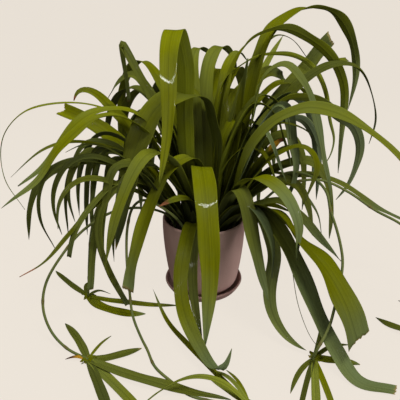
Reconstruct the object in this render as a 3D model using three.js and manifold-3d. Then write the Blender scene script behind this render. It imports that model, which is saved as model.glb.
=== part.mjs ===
// A spider plant in its glazed pot and saucer, in millimetres, +Z up, the saucer on z = 0.
// The pot's axis is the Z axis and the plant's front faces -Y.
import * as THREE from "three";
import Module from "manifold-3d";

const wasm = await Module();
wasm.setup();

// ---------------------------------------------------------------- driving dimensions

const ROUND_SIDES = 32; // sides of the pot, the saucer and the soil
const GAP = 0.3; // between pieces that touch
const SMOOTHING = 0.2; // detail that fusing may flatten

const SAUCER = { rimRadius: 59, footRadius: 52, height: 13, floor: 4, wall: 3.2 };
const POT = { rimRadius: 60, footRadius: 45.5, rimHeight: 115, wall: 4.2, floor: 5, drainRadius: 6 };
const SOIL = { top: 99 };
const CROWN = { radius: 33, foot: 82, top: 138 };

const BLADE = { keel: 1.9, rootHeight: 97, segmentLength: 76 };
const RUNNER = { radius: 1.6, sides: 5, depth: 12, holeRadius: 4 };
const PLANTLET = { hubRadius: 5.5, hubHeight: 5.5, keel: 1.7, rest: 1.3 };

const COLOURS = {
  pot: 0x6b5750,
  saucer: 0x5c4842,
  soil: 0x2c1f17,
  leaf: 0x5f661a,
  runner: 0x50602c,
};

// ---------------------------------------------------------------- shared helpers

const rad = THREE.MathUtils.degToRad;
const clamp = THREE.MathUtils.clamp;

// A closed triangle mesh as a solid.
function solidFrom(vertices, triangles) {
  return new wasm.Manifold(
    new wasm.Mesh({
      numProp: 3,
      vertProperties: new Float32Array(vertices),
      triVerts: new Uint32Array(triangles),
    }),
  );
}

// A three.js geometry as a solid: the doubled vertices along its seams are merged first.
function solidOf(geometry) {
  const place = geometry.getAttribute("position");
  const seen = new Map();
  const vertices = [];
  const number = [];
  for (let i = 0; i < place.count; i++) {
    const p = [place.getX(i), place.getY(i), place.getZ(i)];
    const key = p.map((v) => Math.round(v * 1e3)).join();
    if (!seen.has(key)) {
      seen.set(key, seen.size);
      vertices.push(...p);
    }
    number.push(seen.get(key));
  }
  const corners = geometry.index ? [...geometry.index.array] : number.map((_, i) => i);
  const triangles = [];
  for (let i = 0; i < corners.length; i += 3) {
    const [a, b, c] = [0, 1, 2].map((k) => number[corners[i + k]]);
    if (a !== b && b !== c && c !== a) triangles.push(a, b, c);
  }
  return solidFrom(vertices, triangles);
}

// A turned body: the profile is a list of [radius, height] and runs anticlockwise.
function turned(profile, sides = ROUND_SIDES) {
  const points = profile.map(([r, z]) => new THREE.Vector2(r, z));
  return solidOf(new THREE.LatheGeometry(points, sides).rotateX(Math.PI / 2));
}

// Several solids fused to one body. Hollows that the fusing seals are filled.
function fuse(solids) {
  const bodies = wasm.Manifold.union(solids).simplify(SMOOTHING).decompose();
  return bodies.reduce((most, body) => (body.volume() > most.volume() ? body : most));
}

// A named mesh of a solid, with its own material.
function part(name, solid, colour, roughness) {
  const made = solid.getMesh();
  const geometry = new THREE.BufferGeometry()
    .setAttribute("position", new THREE.BufferAttribute(new Float32Array(made.vertProperties), 3))
    .setIndex(new THREE.BufferAttribute(new Uint32Array(made.triVerts), 1));
  geometry.computeVertexNormals();
  const material = new THREE.MeshStandardMaterial({ color: colour, roughness, metalness: 0 });
  const mesh = new THREE.Mesh(geometry, material);
  mesh.name = name;
  return mesh;
}

// Random numbers from a fixed seed.
function seeded(seed) {
  let state = seed >>> 0;
  return () => {
    state = (state * 1664525 + 1013904223) >>> 0;
    return state / 4294967296;
  };
}

// ---------------------------------------------------------------- saucer, pot and soil

function saucerSolid() {
  const { rimRadius: R, footRadius: F, height: H, floor, wall } = SAUCER;
  return turned([
    [0, 0],
    [F - 1, 0],
    [F + 1, 1],
    [R - 1.5, H - 5],
    [R, H - 2],
    [R - 0.5, H - 0.4],
    [R - 1.6, H],
    [R - 2.8, H - 0.6],
    [R - wall, H - 2.5],
    [F - 1.5, floor + 0.6],
    [F - 3, floor],
    [0, floor],
  ]);
}

// Outer radius of the pot at a height above the surface.
const potOutside = [
  [POT.footRadius, 6],
  [50.6, 14],
  [54, 30],
  [57, 52],
  [59.2, 76],
  [60.2, 98],
  [POT.rimRadius, 112],
];

function potRadius(height) {
  const last = potOutside.length - 1;
  for (let i = 0; i < last; i++) {
    const [r0, z0] = potOutside[i];
    const [r1, z1] = potOutside[i + 1];
    if (height <= z1) return r0 + ((r1 - r0) * (height - z0)) / (z1 - z0);
  }
  return potOutside[last][0];
}

const potBase = SAUCER.floor + GAP;
const potFloor = potBase + POT.floor;

function potSolid() {
  const inside = [98, 76, 52, 30, 14].map((z) => [potRadius(z) - POT.wall, z]);
  return turned([
    [POT.drainRadius, potBase],
    [POT.footRadius - 1.5, potBase],
    ...potOutside,
    [POT.rimRadius - 0.8, POT.rimHeight - 0.6],
    [POT.rimRadius - 2.1, POT.rimHeight],
    [POT.rimRadius - 3.4, POT.rimHeight - 0.6],
    [POT.rimRadius - POT.wall, 112],
    ...inside,
    [POT.footRadius - POT.wall, potFloor],
    [POT.drainRadius, potFloor],
    [POT.drainRadius, potBase],
  ]);
}

// The soil fills the pot. It has a plain hole for the crown and one for each runner.
function soilSolid(runners) {
  const fit = POT.wall + GAP;
  const wall = [14, 30, 52, 76, SOIL.top - 2].map((z) => [potRadius(z) - fit, z]);
  const block = turned([
    [0, potFloor + GAP],
    [POT.footRadius - fit - 0.5, potFloor + GAP],
    ...wall,
    [potRadius(SOIL.top) - fit - 2, SOIL.top],
    [0, SOIL.top],
  ]);
  let made = block.subtract(plug(CROWN.radius + GAP, CROWN.foot - GAP, SOIL.top + 5, 24));
  for (const { root } of runners) {
    const bottom = SOIL.top - RUNNER.depth - GAP;
    made = made.subtract(plug(RUNNER.holeRadius, bottom, SOIL.top + 5, 8).translate([root[0], root[1], 0]));
  }
  return made;
}

function plug(radius, bottom, top, sides) {
  return turned([[0, bottom], [radius, bottom], [radius, top], [0, top]], sides);
}

// ---------------------------------------------------------------- strap leaves

// Share of a blade's full width along its length, from root (0) to tip (1).
function outline(t, tip) {
  const base = 0.6 + 0.4 * Math.sin((Math.PI / 2) * clamp(t / 0.3, 0, 1));
  if (tip === "blunt") return base * (1 - 0.55 * Math.pow(clamp((t - 0.6) / 0.4, 0, 1), 1.5));
  if (tip !== "point") return base * (1 - 0.12 * clamp((t - 0.75) / 0.25, 0, 1));
  const end = clamp((t - 0.55) / 0.45, 0, 1);
  return base * (1 - 0.92 * Math.pow(end, 2.1));
}

// Places along a curve for its sections, closer together where it bends more.
function spread(curve, segments) {
  const fine = 90;
  const reach = [0];
  for (let i = 1; i <= fine; i++) {
    const bend = curve.getTangentAt((i - 1) / fine).angleTo(curve.getTangentAt(i / fine));
    reach.push(reach[i - 1] + 1 / fine + 0.45 * bend);
  }
  const places = [];
  for (let k = 0, i = 1; k <= segments; k++) {
    const wanted = (reach[fine] * k) / segments;
    while (i < fine && reach[i] < wanted) i++;
    places.push((i - 1 + (wanted - reach[i - 1]) / (reach[i] - reach[i - 1])) / fine);
  }
  return places.map((t) => clamp(t, 0, 1));
}

// A blade's roll at a share of its length, from two or three angles spread evenly along it.
function rollAt(turn, t) {
  const spans = turn.length - 1;
  const i = Math.min(Math.floor(t * spans), spans - 1);
  return turn[i] + (turn[i + 1] - turn[i]) * (t * spans - i);
}

// A strap leaf along a curve. Its section has three corners: the two edges, and the keel under
// them. `side` is the level direction across the leaf, and `turn` rolls it about its own
// length, in degrees from root to tip.
function blade(points, side, width, tip, turn, keel, segments) {
  const curve = new THREE.CatmullRomCurve3(points, false, "centripetal");
  curve.arcLengthDivisions = 120;
  const stations = spread(curve, segments);
  const vertices = [];
  for (let i = 0; i <= segments; i++) {
    const t = stations[i];
    const centre = curve.getPointAt(t);
    const along = curve.getTangentAt(t);
    const level = side.clone().addScaledVector(along, -side.dot(along)).normalize();
    const roll = rad(rollAt(turn, t));
    const up = new THREE.Vector3().crossVectors(along, level);
    const face = up.multiplyScalar(Math.cos(roll)).addScaledVector(level, Math.sin(roll));
    const across = new THREE.Vector3().crossVectors(face, along);
    const half = Math.max(0.5, (width / 2) * outline(t, tip));
    const depth = keel * (0.55 + 0.45 * (half / (width / 2)));
    const last = i === segments;
    const back = tip === "notch" && last ? width * 0.3 : 0;
    const slant = tip === "slant" && last ? width * 0.09 : 0;
    const corner = (a, f, b) =>
      centre.clone().addScaledVector(across, a).addScaledVector(face, f).addScaledVector(along, b);
    const [left, right] = [corner(-half, depth / 2, slant), corner(half, depth / 2, -slant)];
    for (const p of [left, right, corner(0, -depth / 2, -back)])
      vertices.push(p.x, p.y, p.z);
  }
  const triangles = [0, 1, 2];
  for (let i = 0; i < segments; i++) {
    const [left, right, low] = [3 * i, 3 * i + 1, 3 * i + 2];
    const [nextLeft, nextRight, nextLow] = [left + 3, right + 3, low + 3];
    // all three sides are split the same way, so that the top never crosses the bottom
    triangles.push(left, nextRight, right, left, nextLeft, nextRight);
    triangles.push(left, nextLow, nextLeft, left, low, nextLow);
    triangles.push(low, right, nextRight, low, nextRight, nextLow);
  }
  const z = 3 * segments;
  triangles.push(z, z + 2, z + 1);
  const made = solidFrom(vertices, triangles);
  if (made.volume() <= 0) throw new Error("a blade is inside out");
  return made;
}

// A leaf of the crown. Its path is [out, up, side] from the pot's axis: out along the azimuth,
// up from the surface, and to the left of the azimuth.
function strap({ azimuth, width, tip = "point", turn = [0, 0], foot, path }) {
  const out = new THREE.Vector3(Math.cos(rad(azimuth)), Math.sin(rad(azimuth)), 0);
  const side = new THREE.Vector3(-out.y, out.x, 0);
  const place = ([o, u, s = 0]) =>
    new THREE.Vector3(0, 0, u).addScaledVector(out, o).addScaledVector(side, s);
  const points = [[foot, BLADE.rootHeight, path[0][2] ?? 0], ...path].map(place);
  const length = points.slice(1).reduce((sum, p, i) => sum + p.distanceTo(points[i]), 0);
  const segments = clamp(Math.round(length / BLADE.segmentLength) + 1, 5, 11);
  // a positive turn brings the upper face round to the front of the plant
  const towardsFront = out.x > 0 ? -1 : 1;
  const roll = turn.map((angle) => angle * towardsFront);
  return blade(points, side, width, tip, roll, BLADE.keel, segments);
}

// Leaves in front of the pot.
const frontLeaves = [
  { azimuth: 262, width: 22, foot: 4, path: [[10, 130, -20], [15, 255, -23], [30, 328, -20], [58, 366, -25],
    [84, 350, -26], [95, 325, -26], [100, 310, -25], [104, 292, -25], [112, 258, -26], [127, 205, -33]] },
  { azimuth: 270, width: 26, foot: 12, path: [[18, 125], [40, 178], [68, 213, -4], [98, 197], [122, 153, 4],
    [137, 95, 6], [168, 22]] },
  { azimuth: 264, width: 18, foot: 24, path: [[32, 112, -5], [65, 132, -10], [95, 112, -15], [113, 80, -18],
    [138, 48, -10], [170, 26, 12], [192, 17, 32], [194, 22, 42], [184, 40, 49]] },
  { azimuth: 266, width: 13, foot: 20, path: [[30, 114], [68, 128, -4], [95, 98, -8], [115, 65, -6], [132, 38],
    [150, 14, 8]] },
  { azimuth: 228, width: 18, tip: "cut", foot: 6, turn: [0, 15], path: [[2, 135], [5, 180], [25, 210],
    [60, 206], [90, 180], [115, 140], [135, 95], [145, 60]] },
  { azimuth: 230, width: 19, foot: 8, turn: [0, 10], path: [[24, 136], [56, 203], [85, 230], [105, 231],
    [121, 220], [141, 196], [157, 170], [168, 143], [179, 111]] },
  { azimuth: 212, width: 33, foot: 2, turn: [-20, 60], path: [[-17, 182], [-16, 239], [-4, 278], [21, 293],
    [64, 282], [96, 240], [117, 178], [137, 98]] },
  { azimuth: 300, width: 20, foot: 20, turn: [0, 10], path: [[50, 140], [70, 172], [84, 186], [100, 172],
    [117, 135], [135, 95], [155, 62]] },
  { azimuth: 305, width: 14, foot: 25, turn: [0, -20], path: [[50, 130], [78, 158], [102, 165], [125, 153],
    [141, 130], [144, 84]] },
  { azimuth: 308, width: 20, foot: 16, turn: [0, 10], path: [[48, 142], [72, 182], [105, 203], [145, 195],
    [168, 165], [172, 120]] },
  { azimuth: 314, width: 40, tip: "slant", foot: 22, turn: [-10, -32, 20], path: [[50, 128], [77, 151],
    [115, 163], [160, 140], [199, 114], [229, 80], [248, 42]] },
  { azimuth: 312, width: 24, tip: "blunt", foot: 28, turn: [0, 14], path: [[54, 126], [80, 147], [107, 159],
    [141, 134], [168, 103], [200, 62, -5], [232, 22, -4], [262, 4, -7], [295, 3, 12]] },
  { azimuth: 240, width: 10, foot: 8, turn: [20, 40], path: [[10, 128], [30, 150], [55, 163], [82, 168],
    [110, 170]] },
];

// Leaves over the left side.
const leftLeaves = [
  { azimuth: 165, width: 11, tip: "cut", foot: 12, turn: [20, 60], path: [[40, 200], [65, 265], [79, 293],
    [96, 322], [109, 346], [113, 352], [112, 342], [109, 316], [107, 275]] },
  { azimuth: 150, width: 14, foot: 12, turn: [20, 60], path: [[40, 180], [68, 240], [90, 288], [115, 308],
    [142, 298], [168, 270]] },
  { azimuth: 195, width: 17, foot: 14, turn: [10, 70], path: [[45, 150], [75, 198], [101, 253], [119, 275],
    [134, 292], [147, 299], [158, 297], [163, 286]] },
  { azimuth: 170, width: 21, tip: "notch", foot: 20, turn: [30, 82], path: [[60, 148], [92, 188], [120, 218],
    [150, 240], [178, 254], [205, 264]] },
  { azimuth: 205, width: 18, foot: 12, turn: [-25, 35], path: [[30, 150], [55, 215], [75, 255], [100, 275],
    [135, 278], [160, 268], [182, 248], [210, 215], [238, 198]] },
  { azimuth: 213, width: 16, foot: 14, turn: [-25, 30], path: [[32, 145], [60, 200], [85, 248], [115, 272],
    [150, 272], [188, 247], [222, 210], [260, 188]] },
  { azimuth: 178, width: 5, foot: 16, turn: [0, 30], path: [[60, 215], [105, 255], [145, 273], [190, 276],
    [240, 265], [272, 238], [285, 208], [286, 165], [265, 120]] },
  { azimuth: 200, width: 6, foot: 18, turn: [10, 30], path: [[72, 185], [112, 222], [145, 236], [178, 240],
    [203, 234], [222, 222], [245, 203]] },
  { azimuth: 208, width: 6, foot: 20, turn: [10, 20], path: [[78, 185], [118, 222], [142, 238], [162, 241],
    [182, 234]] },
  { azimuth: 204, width: 7, foot: 22, turn: [10, 60], path: [[76, 165], [108, 198], [138, 214], [170, 220],
    [200, 212], [216, 185], [220, 150], [208, 105]] },
  { azimuth: 210, width: 8, foot: 18, turn: [10, 60], path: [[78, 170], [118, 208], [155, 228], [182, 222],
    [200, 198], [205, 170], [200, 135]] },
  { azimuth: 215, width: 8, foot: 20, turn: [10, 60], path: [[82, 158], [130, 192], [165, 206], [188, 200],
    [203, 180], [207, 152]] },
  { azimuth: 196, width: 13, foot: 16, turn: [10, 75], path: [[72, 170], [112, 200], [150, 212], [188, 207],
    [214, 190], [232, 155], [240, 110]] },
  { azimuth: 215, width: 8, tip: "cut", foot: 18, turn: [10, 30], path: [[86, 163], [115, 193], [137, 191],
    [160, 175], [181, 154], [193, 133], [199, 112]] },
  { azimuth: 214, width: 8, foot: 24, turn: [10, 20], path: [[55, 140], [90, 168], [130, 182], [162, 168],
    [195, 140], [228, 112], [256, 103]] },
  { azimuth: 212, width: 9, tip: "cut", foot: 16, turn: [10, 60], path: [[60, 160], [102, 213], [124, 213],
    [142, 184], [156, 146], [166, 107], [176, 50]] },
  { azimuth: 200, width: 10, foot: 18, turn: [0, 75], path: [[78, 165], [116, 222], [138, 230], [153, 208],
    [162, 162], [166, 112]] },
  { azimuth: 203, width: 10, foot: 20, turn: [0, -70], path: [[80, 168], [110, 220], [132, 228], [148, 195],
    [158, 149], [158, 99]] },
  { azimuth: 216, width: 10, foot: 22, turn: [0, 60], path: [[78, 166], [110, 212], [132, 214], [146, 181],
    [156, 137], [158, 92]] },
  { azimuth: 190, width: 9, foot: 18, turn: [0, 75], path: [[76, 175], [120, 226], [156, 230], [177, 197],
    [190, 153], [193, 100]] },
  { azimuth: 226, width: 10, foot: 20, turn: [0, 20], path: [[80, 168], [110, 208], [131, 208], [146, 176],
    [155, 140], [158, 105]] },
  { azimuth: 186, width: 10, foot: 22, turn: [0, 80], path: [[74, 170], [110, 212], [135, 215], [152, 178],
    [161, 128]] },
  { azimuth: 176, width: 10, foot: 20, turn: [0, -75], path: [[75, 180], [113, 228], [143, 234], [168, 204],
    [183, 158], [187, 108]] },
  { azimuth: 216, width: 9, tip: "cut", foot: 14, turn: [10, 60], path: [[62, 160], [108, 192], [140, 182],
    [157, 155], [161, 120], [153, 80], [141, 42], [130, 14]] },
  { azimuth: 196, width: 12, foot: 18, turn: [0, 50], path: [[90, 172], [129, 210], [150, 225], [169, 209],
    [181, 183], [183, 157], [180, 128]] },
  { azimuth: 201, width: 13, foot: 18, turn: [0, 30], path: [[80, 168], [115, 214], [128, 210], [136, 184],
    [141, 158], [143, 126]] },
  { azimuth: 222, width: 16, foot: 14, turn: [0, 20], path: [[28, 143], [47, 168], [65, 191], [83, 208],
    [98, 214], [112, 209], [123, 194]] },
];

// Leaves over the right side.
const rightLeaves = [
  { azimuth: 22, width: 16, foot: 12, turn: [25, -75], path: [[15, 180], [23, 266], [36, 314], [57, 348],
    [80, 362], [115, 368], [150, 358], [184, 340], [209, 318], [228, 284], [233, 240], [235, 190],
    [238, 150]] },
  { azimuth: 30, width: 22, foot: 20, turn: [55, -34], path: [[45, 160], [65, 260], [86, 335], [110, 372],
    [145, 390], [190, 396], [225, 388], [265, 352], [285, 300], [278, 245]] },
  { azimuth: 30, width: 8, foot: 10, turn: [10, -80], path: [[15, 200], [28, 300], [55, 322], [91, 334],
    [141, 334], [177, 322], [205, 300], [225, 269], [238, 231], [254, 196], [247, 166], [225, 144]] },
  { azimuth: 45, width: 19, tip: "cut", foot: 10, turn: [20, 55], path: [[14, 160], [37, 206], [46, 246],
    [58, 272], [83, 290], [113, 303], [142, 309], [181, 298]] },
  { azimuth: 55, width: 14, foot: 14, turn: [20, 20], path: [[55, 170], [108, 248], [170, 312], [235, 360]] },
  { azimuth: 35, width: 23, tip: "cut", foot: 18, turn: [35, 55], path: [[50, 150], [85, 202], [106, 235],
    [130, 264], [159, 289], [189, 310], [215, 335], [242, 355]] },
  { azimuth: 40, width: 12, tip: "cut", foot: 16, turn: [20, 30], path: [[62, 172], [133, 253], [202, 287],
    [252, 307], [294, 317], [331, 320]] },
  { azimuth: 18, width: 16, foot: 20, turn: [20, 30], path: [[62, 178], [98, 252], [145, 300], [195, 323],
    [235, 315], [262, 285], [280, 240], [275, 200]] },
  { azimuth: 40, width: 6, foot: 14, turn: [10, 20], path: [[42, 232], [85, 320], [132, 358], [172, 354],
    [215, 325]] },
  { azimuth: 20, width: 18, foot: 10, turn: [10, 10], path: [[24, 130], [37, 173], [48, 223], [52, 265],
    [56, 304], [61, 331]] },
  { azimuth: 312, width: 18, foot: 14, turn: [0, 50], path: [[40, 122, 12], [68, 137, 20], [90, 137, 21],
    [110, 118, 16], [125, 98, 8], [133, 76, -6], [139, 58, -15], [149, 36, -19], [169, 17, -19], [187, 9, -16],
    [198, 7, -13]] },
  { azimuth: 318, width: 19, foot: 18, turn: [60, 50, -10], path: [[54, 161], [61, 195], [72, 225], [91, 252],
    [110, 270], [129, 281], [149, 288], [180, 286], [213, 274], [244, 256], [274, 225]] },
  { azimuth: 14, width: 17, foot: 20, turn: [0, -80], path: [[55, 190], [87, 253], [112, 277], [137, 280],
    [160, 276], [180, 266], [204, 248], [225, 238], [240, 218], [246, 194], [241, 162], [231, 138],
    [216, 118]] },
  { azimuth: 338, width: 16, foot: 16, turn: [0, 35], path: [[40, 180], [65, 259], [77, 314], [102, 328],
    [120, 315], [134, 295], [145, 265], [156, 229], [166, 195], [175, 159]] },
  { azimuth: 335, width: 12, foot: 16, path: [[55, 190], [80, 260], [100, 282], [112, 268], [116, 240]] },
  { azimuth: 342, width: 15, foot: 22, turn: [20, 55, 60], path: [[53, 176], [78, 239], [94, 273], [103, 280],
    [112, 264], [116, 239], [124, 213], [125, 189], [120, 166], [115, 148]] },
  { azimuth: 332, width: 13, foot: 24, turn: [0, 25], path: [[62, 165], [92, 212], [113, 228], [130, 236],
    [146, 230], [154, 211], [148, 181], [141, 156]] },
  { azimuth: 352, width: 9, foot: 24, turn: [20, 20], path: [[65, 172], [98, 215], [130, 224], [156, 195]] },
  { azimuth: 325, width: 19, foot: 27, turn: [0, 10], path: [[60, 136], [92, 157], [116, 167], [144, 153],
    [170, 132], [188, 118], [201, 107]] },
  { azimuth: 5, width: 14, tip: "blunt", foot: 24, turn: [20, 60], path: [[50, 138], [66, 172], [86, 202],
    [99, 220], [106, 228], [112, 226]] },
  { azimuth: 325, width: 7, foot: 27, path: [[54, 128], [78, 142], [102, 132], [135, 102], [166, 78]] },
  { azimuth: 348, width: 13, foot: 28, turn: [10, 10], path: [[50, 126], [70, 136], [96, 140], [126, 132]] },
  { azimuth: 2, width: 12, foot: 26, turn: [10, 40], path: [[62, 146], [105, 170], [138, 177], [173, 172],
    [198, 163], [211, 155], [231, 141], [258, 123], [294, 106], [327, 92]] },
  { azimuth: 8, width: 14, foot: 20, turn: [0, -75], path: [[52, 182], [96, 243], [133, 254], [156, 230],
    [168, 185], [171, 130]] },
  { azimuth: 357, width: 14, foot: 20, turn: [0, 70], path: [[51, 173], [84, 226], [111, 238], [131, 213],
    [140, 171], [141, 127]] },
  { azimuth: 20, width: 14, foot: 20, turn: [0, -78], path: [[47, 194], [92, 264], [132, 281], [164, 256],
    [180, 204], [182, 148]] },
  { azimuth: 358, width: 15, foot: 24, turn: [0, 72], path: [[62, 156], [110, 194], [147, 200], [171, 172],
    [184, 124], [186, 80]] },
  { azimuth: 342, width: 14, foot: 26, turn: [0, 50], path: [[60, 147], [97, 178], [127, 178], [145, 151],
    [155, 107]] },
  { azimuth: 340, width: 5, foot: 22, turn: [0, 20], path: [[65, 206], [79, 237], [100, 258], [120, 256],
    [138, 248], [150, 231]] },
  { azimuth: 356, width: 7, foot: 24, turn: [0, 40], path: [[65, 164], [92, 184], [120, 176], [143, 151],
    [164, 121], [174, 84]] },
  { azimuth: 330, width: 8, foot: 18, turn: [0, 40], path: [[66, 209], [78, 240], [85, 253], [96, 237],
    [109, 209], [119, 188]] },
];

// Leaves at the back, and the two that show above the middle.
const backLeaves = [
  { azimuth: 92, width: 16, foot: 6, path: [[12, 195, 8], [24, 288, 12], [45, 326, 14], [85, 342, 6],
    [122, 335, -12], [155, 308, -25]] },
  { azimuth: 78, width: 20, foot: 8, path: [[12, 195], [27, 285, 4], [60, 328, 4], [110, 344, -4],
    [152, 330, -14], [182, 295, -20]] },
  { azimuth: 60, width: 18, foot: 12, turn: [0, 20], path: [[32, 206], [51, 281], [72, 326], [100, 338],
    [135, 322]] },
  { azimuth: 112, width: 17, foot: 12, path: [[55, 200], [94, 266], [132, 301], [175, 306], [231, 278]] },
];

// The rest of the crown, by rule: upright inner leaves all round, and arches at the back.
function ruledLeaves() {
  const draw = seeded(20);
  const vary = (middle, spread) => middle + spread * (2 * draw() - 1);
  const made = [];
  const arch = (azimuth, width, foot, rise, reach, end) => {
    const steps = [[0.18, 0.62], [0.36, 0.88], [0.56, 1], [0.76, 0.93], [0.9, 0.74]];
    const path = steps.map(([o, u]) => [foot + (reach - foot) * o, SOIL.top + (rise - SOIL.top) * u]);
    path.push([reach, Math.min(end, rise * 0.72)]);
    made.push({ azimuth, width, foot, turn: [0, vary(0, 25)], path });
  };
  for (let i = 0; i < 12; i++)
    arch(340 + ((i * 137.5) % 220), vary(17, 3), 6 + i, vary(255, 35), vary(105, 25), vary(190, 20));
  for (let i = 0; i < 11; i++)
    arch(vary(42 + i * 10.5, 6), vary(17, 4), vary(16, 8), vary(290, 35), vary(225, 30), vary(130, 40));
  for (let i = 0; i < 7; i++)
    arch(vary(50 + i * 14, 9), vary(16, 3), 26, vary(185, 22), vary(190, 30), vary(45, 20));
  return made;
}

function crownCore() {
  const { radius: R, foot, top } = CROWN;
  return turned([[0, foot], [R, foot], [R, SOIL.top + 2], [R * 0.72, top - 8], [R * 0.3, top], [0, top]], 16);
}

function clumpSolid() {
  const leaves = [...frontLeaves, ...leftLeaves, ...rightLeaves, ...backLeaves, ...ruledLeaves()];
  return fuse([crownCore(), ...leaves.map(strap)]);
}

// ---------------------------------------------------------------- runners and plantlets

// Each runner starts in its own hole in the soil, at `root`, hangs over the rim along `path`
// and ends in the hub of its plantlet, which lies on the surface at `hub`. The plantlet's
// leaves are [azimuth, length, width, rise, bend, tip]: bend swings the outer half, in degrees,
// and a leaf whose tip stands off the surface gives the tip's height.
const runners = [
  {
    name: "runner_left",
    root: [-41, -14],
    path: [[-50, -20, 124], [-78, -36, 142], [-115, -58, 148], [-152, -80, 132], [-178, -100, 105],
      [-196, -116, 75], [-200, -126, 45], [-190, -136, 18], [-170, -148, 4]],
    hub: [-138, -167],
    leaves: [[116, 83, 10, 4, 16], [151, 29, 5, 5, 36], [67, 47, 4, 7, 0], [358, 65, 11, 4, 34],
      [328, 175, 12, 7, 22], [319, 126, 11, 4, -6], [301, 110, 11, 5, -4]],
  },
  {
    name: "runner_far_left",
    root: [-43, 4],
    path: [[-54, 3, 124], [-80, -6, 150], [-112, -18, 165], [-140, -28, 150], [-156, -34, 110],
      [-164, -38, 60], [-168, -41, 22]],
    hub: [-170, -43],
    leaves: [[145, 103, 9, 6, -16], [337, 137, 10, 5, 24], [298, 101, 15, 4, 63], [128, 44, 7, 8, -44],
      [55, 34, 6, 8, -61]],
  },
  {
    name: "runner_front",
    root: [-27, -34],
    path: [[-34, -43, 126], [-58, -52, 152], [-79, -57, 163], [-91, -62, 156], [-98, -72, 134],
      [-100, -84, 97], [-97, -98, 58], [-92, -114, 25], [-80, -132, 6], [-70, -150, 2.8], [-58, -177, 2.6],
      [-38, -198, 2.6], [-18, -216, 2.6], [14, -226, 2.8]],
    hub: [46, -230],
    leaves: [[133, 211, 7, 6, -14, 26], [134, 122, 6, 24, 74], [107, 54, 4, 10, 10], [150, 62, 7, 6, -23],
      [126, 60, 5, 14, 0], [335, 110, 11, 10, -6], [285, 96, 11, 12, 6], [240, 92, 10, 10, 8]],
  },
  {
    name: "runner_right",
    root: [43, -5],
    path: [[49, -4, 118], [64, -2, 140], [86, -12, 163], [110, -28, 190], [134, -52, 194], [150, -74, 181],
      [153, -88, 162], [157, -101, 148], [161, -114, 130], [163, -124, 112], [157, -141, 92], [148, -158, 72],
      [140, -170, 52], [127, -180, 32], [124, -175, 12]],
    hub: [130, -165],
    leaves: [[213, 62, 6, 5, 30], [243, 98, 6, 8, 4], [256, 104, 9, 8, 2], [270, 98, 7, 7, 2],
      [358, 53, 12, 4, -10], [53, 80, 6, 22, 27], [40, 58, 6, 8, -22]],
  },
  {
    name: "runner_far_right",
    root: [42, -14],
    path: [[50, -19, 121], [80, -24, 147], [106, -20, 168], [132, -25, 178], [158, -30, 180], [190, -42, 168],
      [225, -52, 146], [258, -62, 130], [292, -76, 100], [316, -96, 55], [316, -116, 18]],
    hub: [300, -130],
    leaves: [[200, 85, 9, 8, -85], [98, 82, 10, 16, 6], [35, 74, 9, 18, 0], [340, 84, 10, 12, -8],
      [292, 78, 10, 14, 6], [246, 58, 8, 10, 0]],
  },
];

// A runner: a thin stem of even thickness along a curve.
function stem(points) {
  const curve = new THREE.CatmullRomCurve3(points, false, "centripetal");
  const shape = new THREE.Shape();
  for (let i = 0; i < RUNNER.sides; i++) {
    const angle = (2 * Math.PI * i) / RUNNER.sides;
    const [x, y] = [RUNNER.radius * Math.cos(angle), RUNNER.radius * Math.sin(angle)];
    if (i) shape.lineTo(x, y);
    else shape.moveTo(x, y);
  }
  shape.closePath();
  const steps = Math.round(curve.getLength() / 26);
  return solidOf(new THREE.ExtrudeGeometry(shape, { steps, extrudePath: curve, bevelEnabled: false }));
}

// A plantlet's leaf: it leaves the hub, rises a little and comes down to the surface.
function plantletLeaf(hub, [azimuth, length, width, rise, bend, tip = PLANTLET.rest]) {
  const steps = [[0, 0.3], [0.25, 0.85], [0.5, 1], [0.78, 0.55], [1, 0]];
  let [x, y] = hub;
  let before = 0;
  const points = steps.map(([along, height]) => {
    const heading = rad(azimuth + bend * along);
    x += (along - before) * length * Math.cos(heading);
    y += (along - before) * length * Math.sin(heading);
    before = along;
    return new THREE.Vector3(x, y, PLANTLET.rest + (rise - PLANTLET.rest) * height);
  });
  points[0].z = PLANTLET.hubHeight * 0.8;
  points[4].z = tip;
  const side = new THREE.Vector3(-Math.sin(rad(azimuth)), Math.cos(rad(azimuth)), 0);
  const segments = clamp(Math.round(length / 32) + 2, 3, 8);
  return blade(points, side, width, "point", [0, 0], PLANTLET.keel, segments);
}

function plantletHub([x, y]) {
  const { hubRadius: r, hubHeight: h } = PLANTLET;
  const low = PLANTLET.rest - 0.9;
  const profile = [[0, low], [r * 0.7, low], [r, h * 0.45], [r * 0.8, h], [0, h * 1.3]];
  return turned(profile, 10).translate([x, y, 0]);
}

function runnerSolid({ root, path, hub, leaves }) {
  const start = [
    new THREE.Vector3(root[0], root[1], SOIL.top - RUNNER.depth),
    new THREE.Vector3(root[0], root[1], SOIL.top + 4),
  ];
  const end = new THREE.Vector3(hub[0], hub[1], PLANTLET.hubHeight * 0.7);
  const points = [...start, ...path.map((p) => new THREE.Vector3(...p)), end];
  return fuse([stem(points), plantletHub(hub), ...leaves.map((leaf) => plantletLeaf(hub, leaf))]);
}

// ---------------------------------------------------------------- the object

const plant = new THREE.Group();
plant.name = "potted_spider_plant";
plant.add(part("saucer", saucerSolid(), COLOURS.saucer, 0.45));
plant.add(part("pot", potSolid(), COLOURS.pot, 0.4));
plant.add(part("soil", soilSolid(runners), COLOURS.soil, 0.95));
plant.add(part("leaf_clump", clumpSolid(), COLOURS.leaf, 0.42));
for (const runner of runners) plant.add(part(runner.name, runnerSolid(runner), COLOURS.runner, 0.5));

export default plant;
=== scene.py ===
"""A spider plant in its glazed pot and saucer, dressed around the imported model.

Sizes are in millimetres and are turned to metres where a mesh is made. +Z is up, the pot's
axis is the Z axis and the plant's front faces -Y.
"""

import math
import random

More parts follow.
